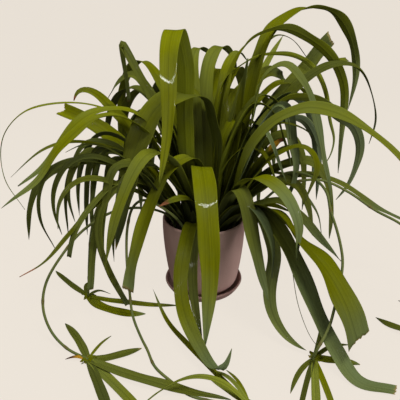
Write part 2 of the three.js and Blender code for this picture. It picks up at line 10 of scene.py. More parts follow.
import bpy
import numpy as np
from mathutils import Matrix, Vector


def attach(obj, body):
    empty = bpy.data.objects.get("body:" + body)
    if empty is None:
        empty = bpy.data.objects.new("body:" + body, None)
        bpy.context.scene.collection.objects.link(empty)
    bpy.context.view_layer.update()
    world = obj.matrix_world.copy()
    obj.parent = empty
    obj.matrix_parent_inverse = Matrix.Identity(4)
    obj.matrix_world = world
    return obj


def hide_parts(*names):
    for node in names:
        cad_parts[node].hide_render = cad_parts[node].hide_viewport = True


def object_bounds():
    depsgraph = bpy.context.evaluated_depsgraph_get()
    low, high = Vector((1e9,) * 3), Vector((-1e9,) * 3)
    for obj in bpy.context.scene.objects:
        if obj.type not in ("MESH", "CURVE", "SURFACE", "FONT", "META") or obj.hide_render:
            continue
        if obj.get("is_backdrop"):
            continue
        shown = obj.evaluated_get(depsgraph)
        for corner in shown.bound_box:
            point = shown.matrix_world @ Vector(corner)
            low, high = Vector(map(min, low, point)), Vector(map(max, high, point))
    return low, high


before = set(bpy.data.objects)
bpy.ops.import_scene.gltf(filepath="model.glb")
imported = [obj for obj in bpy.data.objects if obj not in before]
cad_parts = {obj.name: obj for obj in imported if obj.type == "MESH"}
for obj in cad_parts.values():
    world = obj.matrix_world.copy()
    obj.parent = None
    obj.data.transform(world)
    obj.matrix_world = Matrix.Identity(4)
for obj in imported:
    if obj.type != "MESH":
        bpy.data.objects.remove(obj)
cad_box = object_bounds()

MM = 0.001

# ---- camera and studio

CAMERA = {"place": (-5.5, -533, 359), "pitch": 67.6, "lens": 36, "sensor": 36}

data = bpy.data.cameras.new("camera")
data.lens = CAMERA["lens"]
data.sensor_width = CAMERA["sensor"]
camera = bpy.data.objects.new("camera", data)
camera.location = [v * MM for v in CAMERA["place"]]
camera.rotation_euler = (math.radians(CAMERA["pitch"]), 0, 0)
bpy.context.scene.collection.objects.link(camera)
bpy.context.scene.camera = camera

BACKDROP = (0.807, 0.745, 0.665)
WORLD_STRENGTH = 0.36

# name, place and size (wide, high) in metres, watts, colour, and what it lights: the plant's
# colour ("diffuse") or its gloss ("glossy"). Each one faces the plant.
LAMPS = [
    ("key", (0.3, -0.6, 1.9), (0.45, 0.45), 23, (1.0, 0.98, 0.90), "diffuse"),
    ("top", (-0.55, 0.1, 1.6), (0.8, 0.8), 11, (1.0, 0.99, 0.95), "diffuse"),
    ("fill", (-1.1, -0.9, 0.9), (0.7, 0.7), 3, (1.0, 0.97, 0.88), "diffuse"),
    ("low", (1.1, -0.9, 0.2), (0.3, 0.3), 10, (1.0, 0.95, 0.92), "diffuse"),
    ("window", (0.0, -1.5, 1.05), (1.5, 0.05), 12, (1.0, 1.0, 0.97), "glossy"),
]
LAMPS_FACE = (0.0, 0.0, 0.2)


def studio():
    scene = bpy.context.scene
    scene.view_settings.view_transform = "Standard"
    world = bpy.data.worlds.new("studio")
    world.use_nodes = True
    background = world.node_tree.nodes["Background"]
    background.inputs["Color"].default_value = (*BACKDROP, 1)
    background.inputs["Strength"].default_value = WORLD_STRENGTH
    world.cycles_visibility.glossy = False
    scene.world = world
    for name, place, (wide, high), watts, colour, lights in LAMPS:
        lamp = bpy.data.lights.new(name, "AREA")
        lamp.shape = "RECTANGLE"
        lamp.size, lamp.size_y = wide, high
        lamp.energy = watts
        lamp.color = colour
        made = bpy.data.objects.new(name, lamp)
        made.location = place
        towards = np.array(LAMPS_FACE) - np.array(place)
        yaw = math.atan2(towards[1], towards[0]) - math.pi / 2
        pitch = math.atan2(towards[2], math.hypot(towards[0], towards[1]))
        made.rotation_euler = (pitch + math.pi / 2, 0, yaw)
        made.visible_diffuse = lights == "diffuse"
        made.visible_glossy = lights == "glossy"
        scene.collection.objects.link(made)


# ---- node helpers


class Nodes:
    """A new material and its nodes."""

    def __init__(self, name):
        self.material = bpy.data.materials.new(name)
        self.material.use_nodes = True
        self.tree = self.material.node_tree
        self.shader = self.tree.nodes["Principled BSDF"]

    def plug(self, socket, value):
        """An input is a value, a colour or another node's output."""
        if isinstance(value, bpy.types.NodeSocket):
            self.tree.links.new(value, socket)
        elif socket.type == "RGBA":
            socket.default_value = (*value, 1)
        else:
            socket.default_value = value

    def put(self, node, **inputs):
        """Sets a node's inputs by their names, with _ for a space."""
        for key, value in inputs.items():
            self.plug(node.inputs[key.replace("_", " ")], value)

    def finish(self, **inputs):
        """Sets the material's own inputs."""
        self.put(self.shader, **inputs)

    def add(self, kind, settings=None, **inputs):
        """A node of that kind."""
        made = self.tree.nodes.new("ShaderNode" + kind)
        for key, value in (settings or {}).items():
            setattr(made, key, value)
        self.put(made, **inputs)
        return made

    def maths(self, operation, a, b=0.0, clamp=False):
        made = self.tree.nodes.new("ShaderNodeMath")
        made.operation = operation
        made.use_clamp = clamp
        self.plug(made.inputs[0], a)
        self.plug(made.inputs[1], b)
        return made.outputs[0]

    def total(self, a, b, clamp=False):
        return self.maths("ADD", a, b, clamp)

    def times(self, a, b):
        return self.maths("MULTIPLY", a, b)

    def mix(self, share, a, b, blend="MIX"):
        made = self.tree.nodes.new("ShaderNodeMix")
        made.data_type = "RGBA"
        made.blend_type = blend
        for number, value in ((0, share), (6, a), (7, b)):
            self.plug(made.inputs[number], value)
        return made.outputs[2]

    def shaded(self, colour, shade):
        """The colour times a number."""
        grey = self.add("CombineXYZ", X=shade, Y=shade, Z=shade).outputs[0]
        return self.mix(1.0, colour, grey, "MULTIPLY")

    def attribute(self, name):
        return self.add("Attribute", {"attribute_name": name}).outputs

    def parts(self, vector):
        """The three numbers of a vector."""
        return self.add("SeparateXYZ", Vector=vector).outputs

    def stretched(self, vector, scale):
        made = self.add("VectorMath", {"operation": "MULTIPLY"})
        self.plug(made.inputs[0], vector)
        made.inputs[1].default_value = scale
        return made.outputs[0]

    def between(self, value, low, high, to_low=0.0, to_high=1.0):
        made = self.add("MapRange", {"interpolation_type": "SMOOTHSTEP"}, Value=value)
        for number, limit in enumerate((low, high, to_low, to_high), 1):
            made.inputs[number].default_value = limit
        return made.outputs[0]

    def noise(self, vector, scale, detail=2.0, roughness=0.5):
        made = self.add("TexNoise", Vector=vector, Scale=scale, Detail=detail, Roughness=roughness)
        return made.outputs[0]

    def bump(self, height, distance, strength=1.0, normal=None):
        made = self.add("Bump", Height=height, Distance=distance, Strength=strength)
        if normal is not None:
            self.tree.links.new(normal, made.inputs["Normal"])
        return made.outputs[0]


# ---- materials


# Colours: a pair is a blue-green leaf and an olive one, or the darker and the lighter parts.
# The blue-green is mostly a painted sky reflection, and partly the leaf's own colour.
LEAF_COLOURS = {
    "upper": ((0.100, 0.133, 0.060), (0.115, 0.127, 0.001)),
    # the underside: partly its own paler colour, partly painted light shining through the leaf
    "underside_with_painted_glow": ((0.110, 0.145, 0.080), (0.108, 0.127, 0.006)),
    "margin": (0.15, 0.17, 0.02),
    "dry streak": (0.07, 0.02, 0.01),
}
LEAF_GLOSS = {"specular": 0.06, "coat": 0.5, "coat roughness": 0.05}
VEINS = 4.4  # radians of a sine wave per millimetre across
# how fast each pattern of a leaf or a runner changes across it and along it, per millimetre
STREAKS, THREADS, CLOUDS = (0.9, 0.006, 1), (3.2, 0.02, 1), (0.05, 0.022, 1)
BLOTCHES, RUNNER_STREAKS = (0.5, 0.12, 1), (1.6, 0.02, 1)
RUNNER_COLOURS = {"green": ((0.085, 0.115, 0.035), (0.15, 0.17, 0.05)), "joint": (0.13, 0.055, 0.025)}
GLAZES = {
    "pot_glaze": ((0.360, 0.216, 0.192), (0.480, 0.320, 0.290)),
    "saucer_glaze": ((0.243, 0.143, 0.124), (0.350, 0.223, 0.200)),
}
GLAZE_ROUGHNESS = 0.42
# how fast each pattern of the glaze and of the soil changes, per metre (rings: in radians)
GLAZE_SCALES = {"clouds": 22.0, "grains": 900.0, "specks": 420.0, "drift": 9.0, "rings": 1500.0}
SOIL_SCALES = {"crumbs": 260.0, "patches": 45.0, "fibres": 700.0}
SOIL_COLOURS = {
    "crumbs": ((0.012, 0.007, 0.004), (0.065, 0.038, 0.021)),
    "patch": (0.030, 0.017, 0.010),
    "fibre": (0.16, 0.10, 0.055),
}


def leaf_colour(nodes, warm, under, clouds):
    """From blue-green (mostly a painted sky reflection) to olive, in soft clouds, and a little paler
    and duller on the underside, partly its own colour and partly painted light shining through.
    """
    drift = nodes.times(nodes.maths("SUBTRACT", clouds, 0.5), 0.5)
    warmth = nodes.total(warm, drift, True)
    upper, underside_with_painted_glow = (nodes.mix(warmth, *LEAF_COLOURS[key]) for key in ("upper", "underside_with_painted_glow"))
    return nodes.mix(under, upper, underside_with_painted_glow)


def leaf_material():
    """A leaf reads three vectors from its mesh, so that its veins follow it:
    blade: millimetres across, millimetres along, the leaf's own number
    tone: warm (0 blue-green, mostly a painted sky reflection; 1 olive), brightness (painted light and
    shade), dryness
    share: share of the half width, share of the length, 1 on the underside
    and one colour, finish: the colour of the dry tip, and how glossy the leaf is."""
    nodes = Nodes("leaf")
    blade = nodes.attribute("blade")["Vector"]
    warm, bright, dryness = nodes.parts(nodes.attribute("tone")["Vector"])
    edge, _, under = nodes.parts(nodes.attribute("share")["Vector"])
    finish = nodes.attribute("finish")
    dry_colour, gloss_share = finish["Color"], finish["Alpha"]
    across = nodes.parts(blade)[0]

    streaks = nodes.noise(nodes.stretched(blade, STREAKS), 1.0, 3.0, 0.6)
    threads = nodes.noise(nodes.stretched(blade, THREADS), 1.0, 1.0)
    clouds = nodes.noise(nodes.stretched(blade, CLOUDS), 1.0, 2.0)
    veins = nodes.maths("SINE", nodes.times(across, VEINS))

    shade = nodes.between(streaks, 0.25, 0.75, 0.86, 1.1)
    shade = nodes.times(shade, nodes.between(threads, 0.2, 0.8, 0.94, 1.05))
    shade = nodes.times(shade, nodes.total(nodes.times(veins, 0.05), 1.0))
    midrib = nodes.between(nodes.maths("ABSOLUTE", across), 0.25, 1.1, 0.82, 1.0)
    # bright is painted light and shade: lit leaves are painted brighter, shaded ones darker
    shade = nodes.times(nodes.times(shade, midrib), bright)
    colour = nodes.shaded(leaf_colour(nodes, warm, under, clouds), shade)
    colour = nodes.mix(nodes.between(edge, 0.9, 1.0, 0.0, 0.35), colour, LEAF_COLOURS["margin"])

    blotch = nodes.noise(nodes.stretched(blade, BLOTCHES), 1.0, 3.0)
    dry = nodes.total(dryness, nodes.times(nodes.maths("SUBTRACT", blotch, 0.5), 0.5))
    dry = nodes.times(nodes.between(dry, 0.35, 0.62), nodes.between(dryness, 0.02, 0.12))
    streaked = nodes.between(threads, 0.3, 0.7, 0.0, 0.5)
    dried = nodes.mix(streaked, dry_colour, LEAF_COLOURS["dry streak"])
    nodes.finish(Base_Color=nodes.mix(dry, colour, dried))

    rough = nodes.between(streaks, 0.2, 0.8, 0.50, 0.36)
    rough = nodes.total(rough, nodes.times(dry, 0.3), True)
    rough = nodes.total(rough, nodes.times(under, 0.1), True)
    coat = nodes.times(gloss_share, LEAF_GLOSS["coat"])
    nodes.finish(Roughness=rough, Specular_IOR_Level=LEAF_GLOSS["specular"])
    nodes.finish(Coat_Weight=coat, Coat_Roughness=LEAF_GLOSS["coat roughness"])
    ridges = nodes.total(nodes.times(veins, 0.35), nodes.times(streaks, 0.9))
    ridges = nodes.total(ridges, nodes.times(threads, 0.25))
    nodes.finish(Normal=nodes.bump(ridges, 0.00022, 0.8))
    nodes.finish(Coat_Normal=nodes.bump(ridges, 0.00018, 0.6))
    return nodes.material


def runner_material():
    """The runners: pale green, with lengthwise streaks and browner joints."""
    nodes = Nodes("runner")
    blade = nodes.attribute("blade")["Vector"]
    _, bright, brown = nodes.parts(nodes.attribute("tone")["Vector"])
    streaks = nodes.noise(nodes.stretched(blade, RUNNER_STREAKS), 1.0, 3.0)
    colour = nodes.mix(nodes.between(streaks, 0.3, 0.7), *RUNNER_COLOURS["green"])
    colour = nodes.mix(brown, colour, RUNNER_COLOURS["joint"])
    rough = nodes.between(streaks, 0.2, 0.8, 0.6, 0.42)
    nodes.finish(Base_Color=nodes.shaded(colour, bright), Roughness=rough)
    nodes.finish(Specular_IOR_Level=0.12, Normal=nodes.bump(streaks, 0.0002, 0.8))
    return nodes.material


def glaze_material(name):
    """Satin taupe glaze: soft clouds, small pits and dark specks, faint rings from the wheel."""
    dark, light = GLAZES[name]
    nodes = Nodes(name)
    place = nodes.add("TexCoord").outputs["Object"]
    clouds = nodes.noise(nodes.stretched(place, (1, 1, 0.35)), GLAZE_SCALES["clouds"], 3.0)
    grains = nodes.noise(place, GLAZE_SCALES["grains"], 2.0)
    specks = nodes.noise(place, GLAZE_SCALES["specks"], 1.0)
    drift = nodes.times(nodes.noise(place, GLAZE_SCALES["drift"]), 6.0)
    height = nodes.times(nodes.parts(place)[2], GLAZE_SCALES["rings"])
    rings = nodes.maths("SINE", nodes.total(height, drift))
    colour = nodes.mix(nodes.between(clouds, 0.3, 0.7), dark, light)
    colour = nodes.mix(nodes.between(grains, 0.35, 0.65, 0.0, 0.22), colour, light)
    speck = tuple(c * 0.4 for c in dark)
    colour = nodes.mix(nodes.between(specks, 0.7, 0.78, 0.0, 0.5), colour, speck)
    rough = nodes.between(clouds, 0.3, 0.7, GLAZE_ROUGHNESS + 0.06, GLAZE_ROUGHNESS - 0.04)
    nodes.finish(Base_Color=colour, Roughness=rough, Specular_IOR_Level=0.5)
    height = nodes.total(nodes.times(rings, 0.25), nodes.times(clouds, 1.2))
    surface = nodes.bump(height, 0.00025, 0.5)
    nodes.finish(Normal=nodes.bump(grains, 0.00006, 0.5, surface))
    return nodes.material


def soil_material():
    nodes = Nodes("soil")
    place = nodes.add("TexCoord").outputs["Object"]
    crumbs = nodes.noise(place, SOIL_SCALES["crumbs"], 4.0, 0.6)
    patches = nodes.noise(place, SOIL_SCALES["patches"], 2.0)
    fibres = nodes.noise(nodes.stretched(place, (1, 0.25, 1)), SOIL_SCALES["fibres"], 2.0)
    colour = nodes.mix(nodes.between(crumbs, 0.3, 0.7), *SOIL_COLOURS["crumbs"])
    colour = nodes.mix(nodes.between(patches, 0.5, 0.8, 0.0, 0.5), colour, SOIL_COLOURS["patch"])
    colour = nodes.mix(nodes.between(fibres, 0.66, 0.76, 0.0, 0.6), colour, SOIL_COLOURS["fibre"])
    rough = nodes.between(crumbs, 0.2, 0.8, 0.97, 0.8)
    nodes.finish(Base_Color=colour, Roughness=rough, Specular_IOR_Level=0.3)
    nodes.finish(Normal=nodes.bump(crumbs, 0.0012, 0.9))
    return nodes.material


def floor_material():
    """Plain pale paper that glows a little, as a floor lit evenly from all round."""
    nodes = Nodes("floor")
    place = nodes.add("TexCoord").outputs["Object"]
    rough = nodes.between(nodes.noise(place, 60.0, 3.0), 0.2, 0.8, 0.95, 0.9)
    dim = [c * FLOOR["albedo"] for c in BACKDROP]
    nodes.finish(Base_Color=dim, Roughness=rough, Specular_IOR_Level=0.0)
    nodes.finish(Emission_Color=BACKDROP, Emission_Strength=FLOOR["glow"])
    return nodes.material


# ---- mesh helpers


def smooth_object(name, vertices, faces, material):
    """A smooth object, from points in metres."""
    mesh = bpy.data.meshes.new(name)
    mesh.from_pydata(vertices.tolist(), [], faces)
    mesh.validate()
    for polygon in mesh.polygons:
        polygon.use_smooth = True
    mesh.materials.append(material)
    made = bpy.data.objects.new(name, mesh)
    bpy.context.scene.collection.objects.link(made)
    return made


def model_piece(name, vertices, faces, material, slot, node, vectors=None, colour=None):
    """A piece of the model: it rides on the body and stands for a CAD node; the slot is not used.
    `vectors` are point attributes of three numbers, and `colour` one of four."""
    made = smooth_object(name, np.asarray(vertices, float) * MM, faces, material)
    for key, values in (vectors or {}).items():
        layer = made.data.attributes.new(key, "FLOAT_VECTOR", "POINT")
        layer.data.foreach_set("vector", np.asarray(values, np.float32).ravel())
    if colour is not None:
        layer = made.data.attributes.new("finish", "FLOAT_COLOR", "POINT")
        layer.data.foreach_set("color", np.asarray(colour, np.float32).ravel())
    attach(made, "root")
    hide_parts(node)
    return made


def joined(pieces):
    """Several (vertices, faces, ...point values) as one."""
    offset, vertices, faces, values = 0, [], [], []
    for piece in pieces:
        vertices.append(piece[0])
        faces += [[corner + offset for corner in face] for face in piece[1]]
        values.append(piece[2:])
        offset += len(piece[0])
    return (np.vstack(vertices), faces, *(np.vstack(v) for v in zip(*values)))


def around(sides):
    """Angles evenly round a circle."""
    return np.linspace(0, 2 * math.pi, sides, endpoint=False)


def ring_faces(low, high, sides, flip=False):
    """Faces between two rings of points, which start at the numbers `low` and `high`."""
    pairs = [(k, (k + 1) % sides) for k in range(sides)]
    if flip:
        return [[low + k, high + k, high + n, low + n] for k, n in pairs]
    return [[low + k, low + n, high + n, high + k] for k, n in pairs]


def clamp(value, low=0.0, high=1.0):
    return np.minimum(np.maximum(value, low), high)


def step(value, low, high):
    """0 below `low`, 1 above `high`, and smooth between."""
    t = clamp((np.asarray(value, float) - low) / (high - low))
    return t * t * (3 - 2 * t)


def smooth_curve(points, per_span=24):
    """Centripetal Catmull-Rom curve through the points, as many points close together."""
    points = np.array(points, float)
    held = np.vstack([2 * points[0] - points[1], points, 2 * points[-1] - points[-2]])
    t = np.linspace(0, 1, per_span, endpoint=False)[:, None]
    made = []
    for i in range(len(points) - 1):
        a, b, c, d = held[i : i + 4]
        ab, bc, cd = (max(np.linalg.norm(q - p) ** 0.5, 1e-4) for p, q in ((a, b), (b, c), (c, d)))
        leave = ((b - a) / ab - (c - a) / (ab + bc) + (c - b) / bc) * bc
        reach = ((c - b) / bc - (d - b) / (bc + cd) + (d - c) / cd) * bc
        made.append(
            (2 * t**3 - 3 * t**2 + 1) * b
            + (t**3 - 2 * t**2 + t) * leave
            + (3 * t**2 - 2 * t**3) * c
            + (t**3 - t**2) * reach
        )
    return np.vstack([*made, points[-1:]])


def even(points, count):
    """`count` points at even distances along the curve, the bends eased a little."""
    reach = np.r_[0, np.cumsum(np.linalg.norm(np.diff(points, axis=0), axis=1))]
    at = np.linspace(0, reach[-1], count)
    made = np.stack([np.interp(at, reach, points[:, k]) for k in range(3)], 1)
    for _ in range(3):
        made[1:-1] = (made[:-2] + 2 * made[1:-1] + made[2:]) / 4
    return made, reach[-1]


def unit(vectors):
    return vectors / np.maximum(np.linalg.norm(vectors, axis=1, keepdims=True), 1e-12)


def waves(rng, count, low, high):
    """A smooth random height field: a function of points that adds up `count` waves with
    wavelengths from low to high, and returns about -1 to 1."""
    terms = []
    for _ in range(count):
        heading = np.array([rng.gauss(0, 1), rng.gauss(0, 1)])
        length = low * (high / low) ** rng.random()
        heading = heading / np.linalg.norm(heading) * 2 * math.pi / length
        terms.append((heading, rng.random() * 7, length))
    whole = sum(length for *_, length in terms) ** 0.5 * (low**0.5)

    def height(points):
        swell = sum(length * np.sin(points @ k + start) for k, start, length in terms)
        return swell / (whole * 1.5)

    return height


# ---- pot, saucer and soil

SIDES = 128
SAUCER = {"rim": 59, "foot": 52, "height": 13, "floor": 4, "wall": 3.2}
POT = {"rim": 60, "foot": 45.5, "height": 115, "wall": 4.2, "base": 4.3, "floor": 9.3, "drain": 6}
POT_OUTSIDE = [(45.5, 6), (50.6, 14), (54, 30), (57, 52), (59.2, 76), (60.2, 98), (60, 112)]
SOIL_TOP = 99
SOIL = {"outside": 59.9, "gap": 0.5, "highest": 104, "rings": 46, "sides": 150, "crumbs": 420}
# the soil's side, just inside the pot's wall
SOIL_SIDE = [(55.0, 76), (52.8, 52), (49.6, 30), (46.0, 15), (40.8, 9.7)]


def turned(profile, sides=SIDES):
    """A turned body from a profile of (radius, height), which is closed unless it has an end
    on the axis."""
    angles = around(sides)
    vertices, rows = [], []
    for radius, height in profile:
        if radius < 1e-6:
            rows.append([len(vertices)] * sides)
            vertices.append((0, 0, height))
            continue
        rows.append(list(range(len(vertices), len(vertices) + sides)))
        vertices += [(radius * math.cos(a), radius * math.sin(a), height) for a in angles]
    faces = []
    closed = min(profile[0][0], profile[-1][0]) > 1e-6
    for i in range(len(rows) if closed else len(rows) - 1):
        low, high = rows[i], rows[(i + 1) % len(rows)]
        for k in range(sides):
            n = (k + 1) % sides
            face = list(dict.fromkeys((low[k], low[n], high[n], high[k])))
            if len(face) > 2:
                faces.append(face)
    return np.array(vertices, float), faces


def eased(points, per_span=5):
    """A smooth line through (radius, height) points."""
    line = smooth_curve([(r, 0, z) for r, z in points], per_span)
    return [(r, z) for r, _, z in line]


def pot_piece(material):
    outside = eased(POT_OUTSIDE)
    wall, rim, top = POT["wall"], POT["rim"], POT["height"]
    middle, half = rim - wall / 2, wall / 2
    bend = np.linspace(0.12, math.pi - 0.12, 11)
    lip = [(middle + half * math.cos(a), top - 3 + 3 * math.sin(a)) for a in bend]
    inside = [(r - wall, z) for r, z in reversed(eased(POT_OUTSIDE[1:]))]
    base, floor, drain, foot = POT["base"], POT["floor"], POT["drain"], POT["foot"]
    profile = [(drain, base), (foot - 3.2, base), (foot - 1.5, base + 0.4), *outside, *lip]
    profile += [*inside, (foot - wall, floor), (drain, floor)]
    model_piece("pot_glazed", *turned(profile), material, "pot", "pot")


def saucer_piece(material):
    rim, foot, top = SAUCER["rim"], SAUCER["foot"], SAUCER["height"]
    floor, wall = SAUCER["floor"], SAUCER["wall"]
    profile = [(0, 0), (foot - 4, 0), (foot - 3, 0.5), (foot - 1.6, 0.5), (foot - 1, 0)]
    profile += [(foot, 0.15), (foot + 1, 1)]
    profile += eased([(foot + 1, 1), (foot + 3.2, 4.2), (rim - 1.5, top - 5), (rim, top - 2)])[1:]
    lip = [(rim, top - 2), (rim - 0.5, top - 0.4), (rim - 1.6, top), (rim - 2.8, top - 0.6)]
    inside = [(rim - wall, top - 2.5), (foot + 1, floor + 2.4), (foot - 1.5, floor + 0.6)]
    profile += eased(lip)[1:] + eased([*inside, (foot - 3, floor)]) + [(0, floor)]
    model_piece("saucer_glazed", *turned(profile), material, "saucer", "saucer")


def soil_piece(material):
    """Potting soil up to just under the rim, mounded at the crown, with crumbs on it."""
    rng = random.Random(7)
    outer = SOIL["outside"] - POT["wall"] - SOIL["gap"]
    coarse, fine = waves(rng, 14, 9, 40), waves(rng, 22, 2.5, 8)

    def surface(points):
        away = np.linalg.norm(points, axis=1)
        mound = 3.2 * np.exp(-((away / 26) ** 2)) - 1.2 * step(away, outer - 5, outer)
        return SOIL_TOP - 1.2 + mound + 1.1 * coarse(points) + 0.7 * fine(points)

    rings, sides = SOIL["rings"], SOIL["sides"]
    angles = around(sides)
    flat = [(0.0, 0.0)]
    for i in range(1, rings + 1):
        away = outer * i / rings
        flat += [(away * math.cos(a), away * math.sin(a)) for a in angles]
    flat = np.array(flat)
    vertices = [np.c_[flat, np.minimum(surface(flat), SOIL["highest"])]]
    faces = [[0, 1 + k, 1 + (k + 1) % sides] for k in range(sides)]
    for radius, height in SOIL_SIDE:
        ring = (radius * np.cos(angles), radius * np.sin(angles), np.full(sides, height))
        vertices.append(np.stack(ring, 1))
    last = 1 + (rings - 1 + len(SOIL_SIDE)) * sides
    for first in range(1, last, sides):
        faces += ring_faces(first, first + sides, sides, flip=True)
    faces.append([last + k for k in reversed(range(sides))])
    pieces = [(np.vstack(vertices), faces)]
    for _ in range(SOIL["crumbs"]):
        away, angle = (outer - 3) * math.sqrt(rng.random()), rng.random() * 2 * math.pi
        size = 0.7 + 1.9 * rng.random() ** 2.2
        spot = np.array([[away * math.cos(angle), away * math.sin(angle)]])
        height = min(float(surface(spot)[0]), SOIL["highest"] - 1) + size * 0.25
        pieces.append(crumb(rng, (*spot[0], height), size))
    model_piece("soil_crumbly", *joined(pieces), material, "soil", "soil")


def crumb(rng, place, size):
    """A small rough lump."""
    rows, sides = 5, 7
    stretch = [0.7 + 0.9 * rng.random(), 0.7 + 0.5 * rng.random(), 0.6 + 0.3 * rng.random()]
    turn = rng.random() * math.pi
    vertices = [(0, 0, -1)]
    for i in range(1, rows):
        lift = -math.pi / 2 + math.pi * i / rows
        for k in range(sides):
            angle = 2 * math.pi * k / sides
            away = (0.8 + 0.4 * rng.random()) * math.cos(lift)
            vertices.append((away * math.cos(angle), away * math.sin(angle), math.sin(lift)))
    vertices.append((0, 0, 1))
    last = len(vertices) - 1
    faces = [[0, 1 + (k + 1) % sides, 1 + k] for k in range(sides)]
    for i in range(rows - 2):
        faces += ring_faces(1 + i * sides, 1 + (i + 1) * sides, sides)
    low = last - sides
    faces += [[last, low + k, low + (k + 1) % sides] for k in range(sides)]
    c, s = math.cos(turn), math.sin(turn)
    shape = np.array(vertices) * np.array(stretch) * size
    return shape @ np.array([[c, s, 0], [-s, c, 0], [0, 0, 1]]) + np.array(place), faces


# ---- strap leaves

BLADE = {
    "root": 90,  # the height where the crown's leaves start
    "station": 4.2,  # between points along a leaf
    "rib": 1.5,  # between ribs across it
    "ridge": 0.10,
    "thick": 0.85,
    "keel": 0.55,
    "deepest": 2.6,  # its channel
    "finest": 0.18,  # half the width at a pointed tip
    "torn": 0.5,  # half the least width of other leaves
    "waves": (0.12, 0.4),  # where its waves set in, as a share of the length
    "wander": 3.0,  # degrees of roll
    "uneven": 0.035,  # of the width
    "ripple": 0.055,  # of the width, at its margins
    "apart": 3.7,  # how far each leaf moves on in the noise
}

# What a dry tip looks like: its colour, how many mm before the leaf's end it starts, and how
# dry it is at the end.
TIPS = {
    "brown": ((0.24, 0.085, 0.035), 12, 1.0),
    "pink": ((0.30, 0.125, 0.06), 42, 0.9),
    "yellow": ((0.34, 0.28, 0.04), 24, 0.75),
    "pale": ((0.27, 0.24, 0.09), 9, 0.8),
    "dried": ((0.46, 0.25, 0.015), 50, 1.1),
    "none": ((0.28, 0.20, 0.06), 5, 0.55),
}
# the very end of a dried leaf: its colour, and where it starts and is full, in mm from the end
BURNT = {"colour": np.array((0.06, 0.02, 0.012)), "starts": 16, "full": 7}


def outline(t, tip):
    """Share of a blade's full width along its length, from root (0) to tip (1)."""
    base = 0.6 + 0.4 * np.sin(math.pi / 2 * clamp(t / 0.3))
    if tip == "point":
        end = clamp((t - 0.55) / 0.45)
        return base * (1 - end**2.1) ** 0.85
    if tip == "blunt":
        return base * (1 - 0.55 * clamp((t - 0.6) / 0.4) ** 1.5)
    return base * (1 - 0.12 * clamp((t - 0.75) / 0.25))


def line_through(points, spacing, fewest, most):
    """Evenly spaced points along a smooth curve, their share of its length, the length, and
    the curve's direction at each of them."""
    curve = smooth_curve(points)
    _, length = even(curve, 10)
    centre, length = even(curve, int(clamp(length / spacing, fewest, most)))
    return centre, np.linspace(0, 1, len(centre)), length, unit(np.gradient(centre, axis=0))


def slab_faces(count, columns):
    """Faces of a thin slab: a grid of points on top, then the same grid below."""
    size = count * columns
    faces = []
    for i in range(count - 1):
        for k in range(columns - 1):
            a = i * columns + k
            faces.append([a, a + 1, a + columns + 1, a + columns])
            b = a + size
            faces.append([b, b + columns, b + columns + 1, b + 1])
        for k, turn_over in ((0, 1), (columns - 1, -1)):
            a, b = i * columns + k, i * columns + k + columns
            faces.append([a, b, b + size, a + size][::turn_over])
    for i, turn_over in ((0, -1), (count - 1, 1)):
        for a in range(i * columns, (i + 1) * columns - 1):
            faces.append([a, a + 1, a + 1 + size, a + size][::turn_over])
    return faces


def torn_end(rng, t, s, width, tip):
    """How far each point lies beyond the even end of a leaf: a torn leaf ends unevenly, and a
    notched one is cut back in the middle."""
    if tip == "point":
        return np.zeros((len(t), s.size))
    near = step(t, 0.86, 1.0)[:, None]
    ragged = np.array([rng.uniform(-1, 1) for _ in range(s.size)])[None, :]
    slant = (-0.09 if tip == "slant" else rng.uniform(-0.25, 0.25)) * width * s
    back = near * (slant + (0.02 if tip == "slant" else 0.05) * width * ragged)
    return back - near * width * 0.3 * (1 - np.abs(s)) if tip == "notch" else back


def leaf_values(look, number, root_shade_and_pallor, down, length, edge, over):
    """A leaf's point values, as leaf_material reads them: first those of its upper face, then
    those of its underside. `down` is the way along it, `edge` the share of the half width and
    `over` the way across, one row for each point along the leaf."""
    warm, bright, cool_from, ending, gloss = look
    colour, dry_length, dryness = TIPS[ending]
    t = down / length
    # painted sky reflection: from that share of the length on, the leaf turns blue-green
    warmth = warm * (1 - 0.75 * step(t, cool_from, min(cool_from + 0.3, 1.15)))
    # painted light and shade: the leaf's brightness, darkened towards the root of a crown leaf as
    # painted shade
    light = bright * (root_shade_and_pallor + (1 - root_shade_and_pallor) * step(t, 0.04, 0.5))
    dry = dryness * step(down, length - dry_length, length)
    ones = np.ones(over.shape)
    values = [
        np.stack([over, ones * down[:, None], ones * number * BLADE["apart"]], -1),
        np.stack([ones * column[:, None] for column in (warmth, light, dry)], -1),
        np.stack([edge * ones, ones * t[:, None], ones * 0], -1),
    ]
    vectors = [np.tile(value.reshape(-1, 3), (2, 1)) for value in values]
    vectors[2][ones.size :, 2] = 1
    burnt = step(down, length - BURNT["starts"], length - BURNT["full"])[:, None]
    burnt = burnt * (ending == "dried")
    finish = np.c_[(1 - burnt) * colour + burnt * BURNT["colour"], np.full(len(t), gloss)]
    return (*vectors, np.tile(np.repeat(finish, over.shape[1], axis=0), (2, 1)))


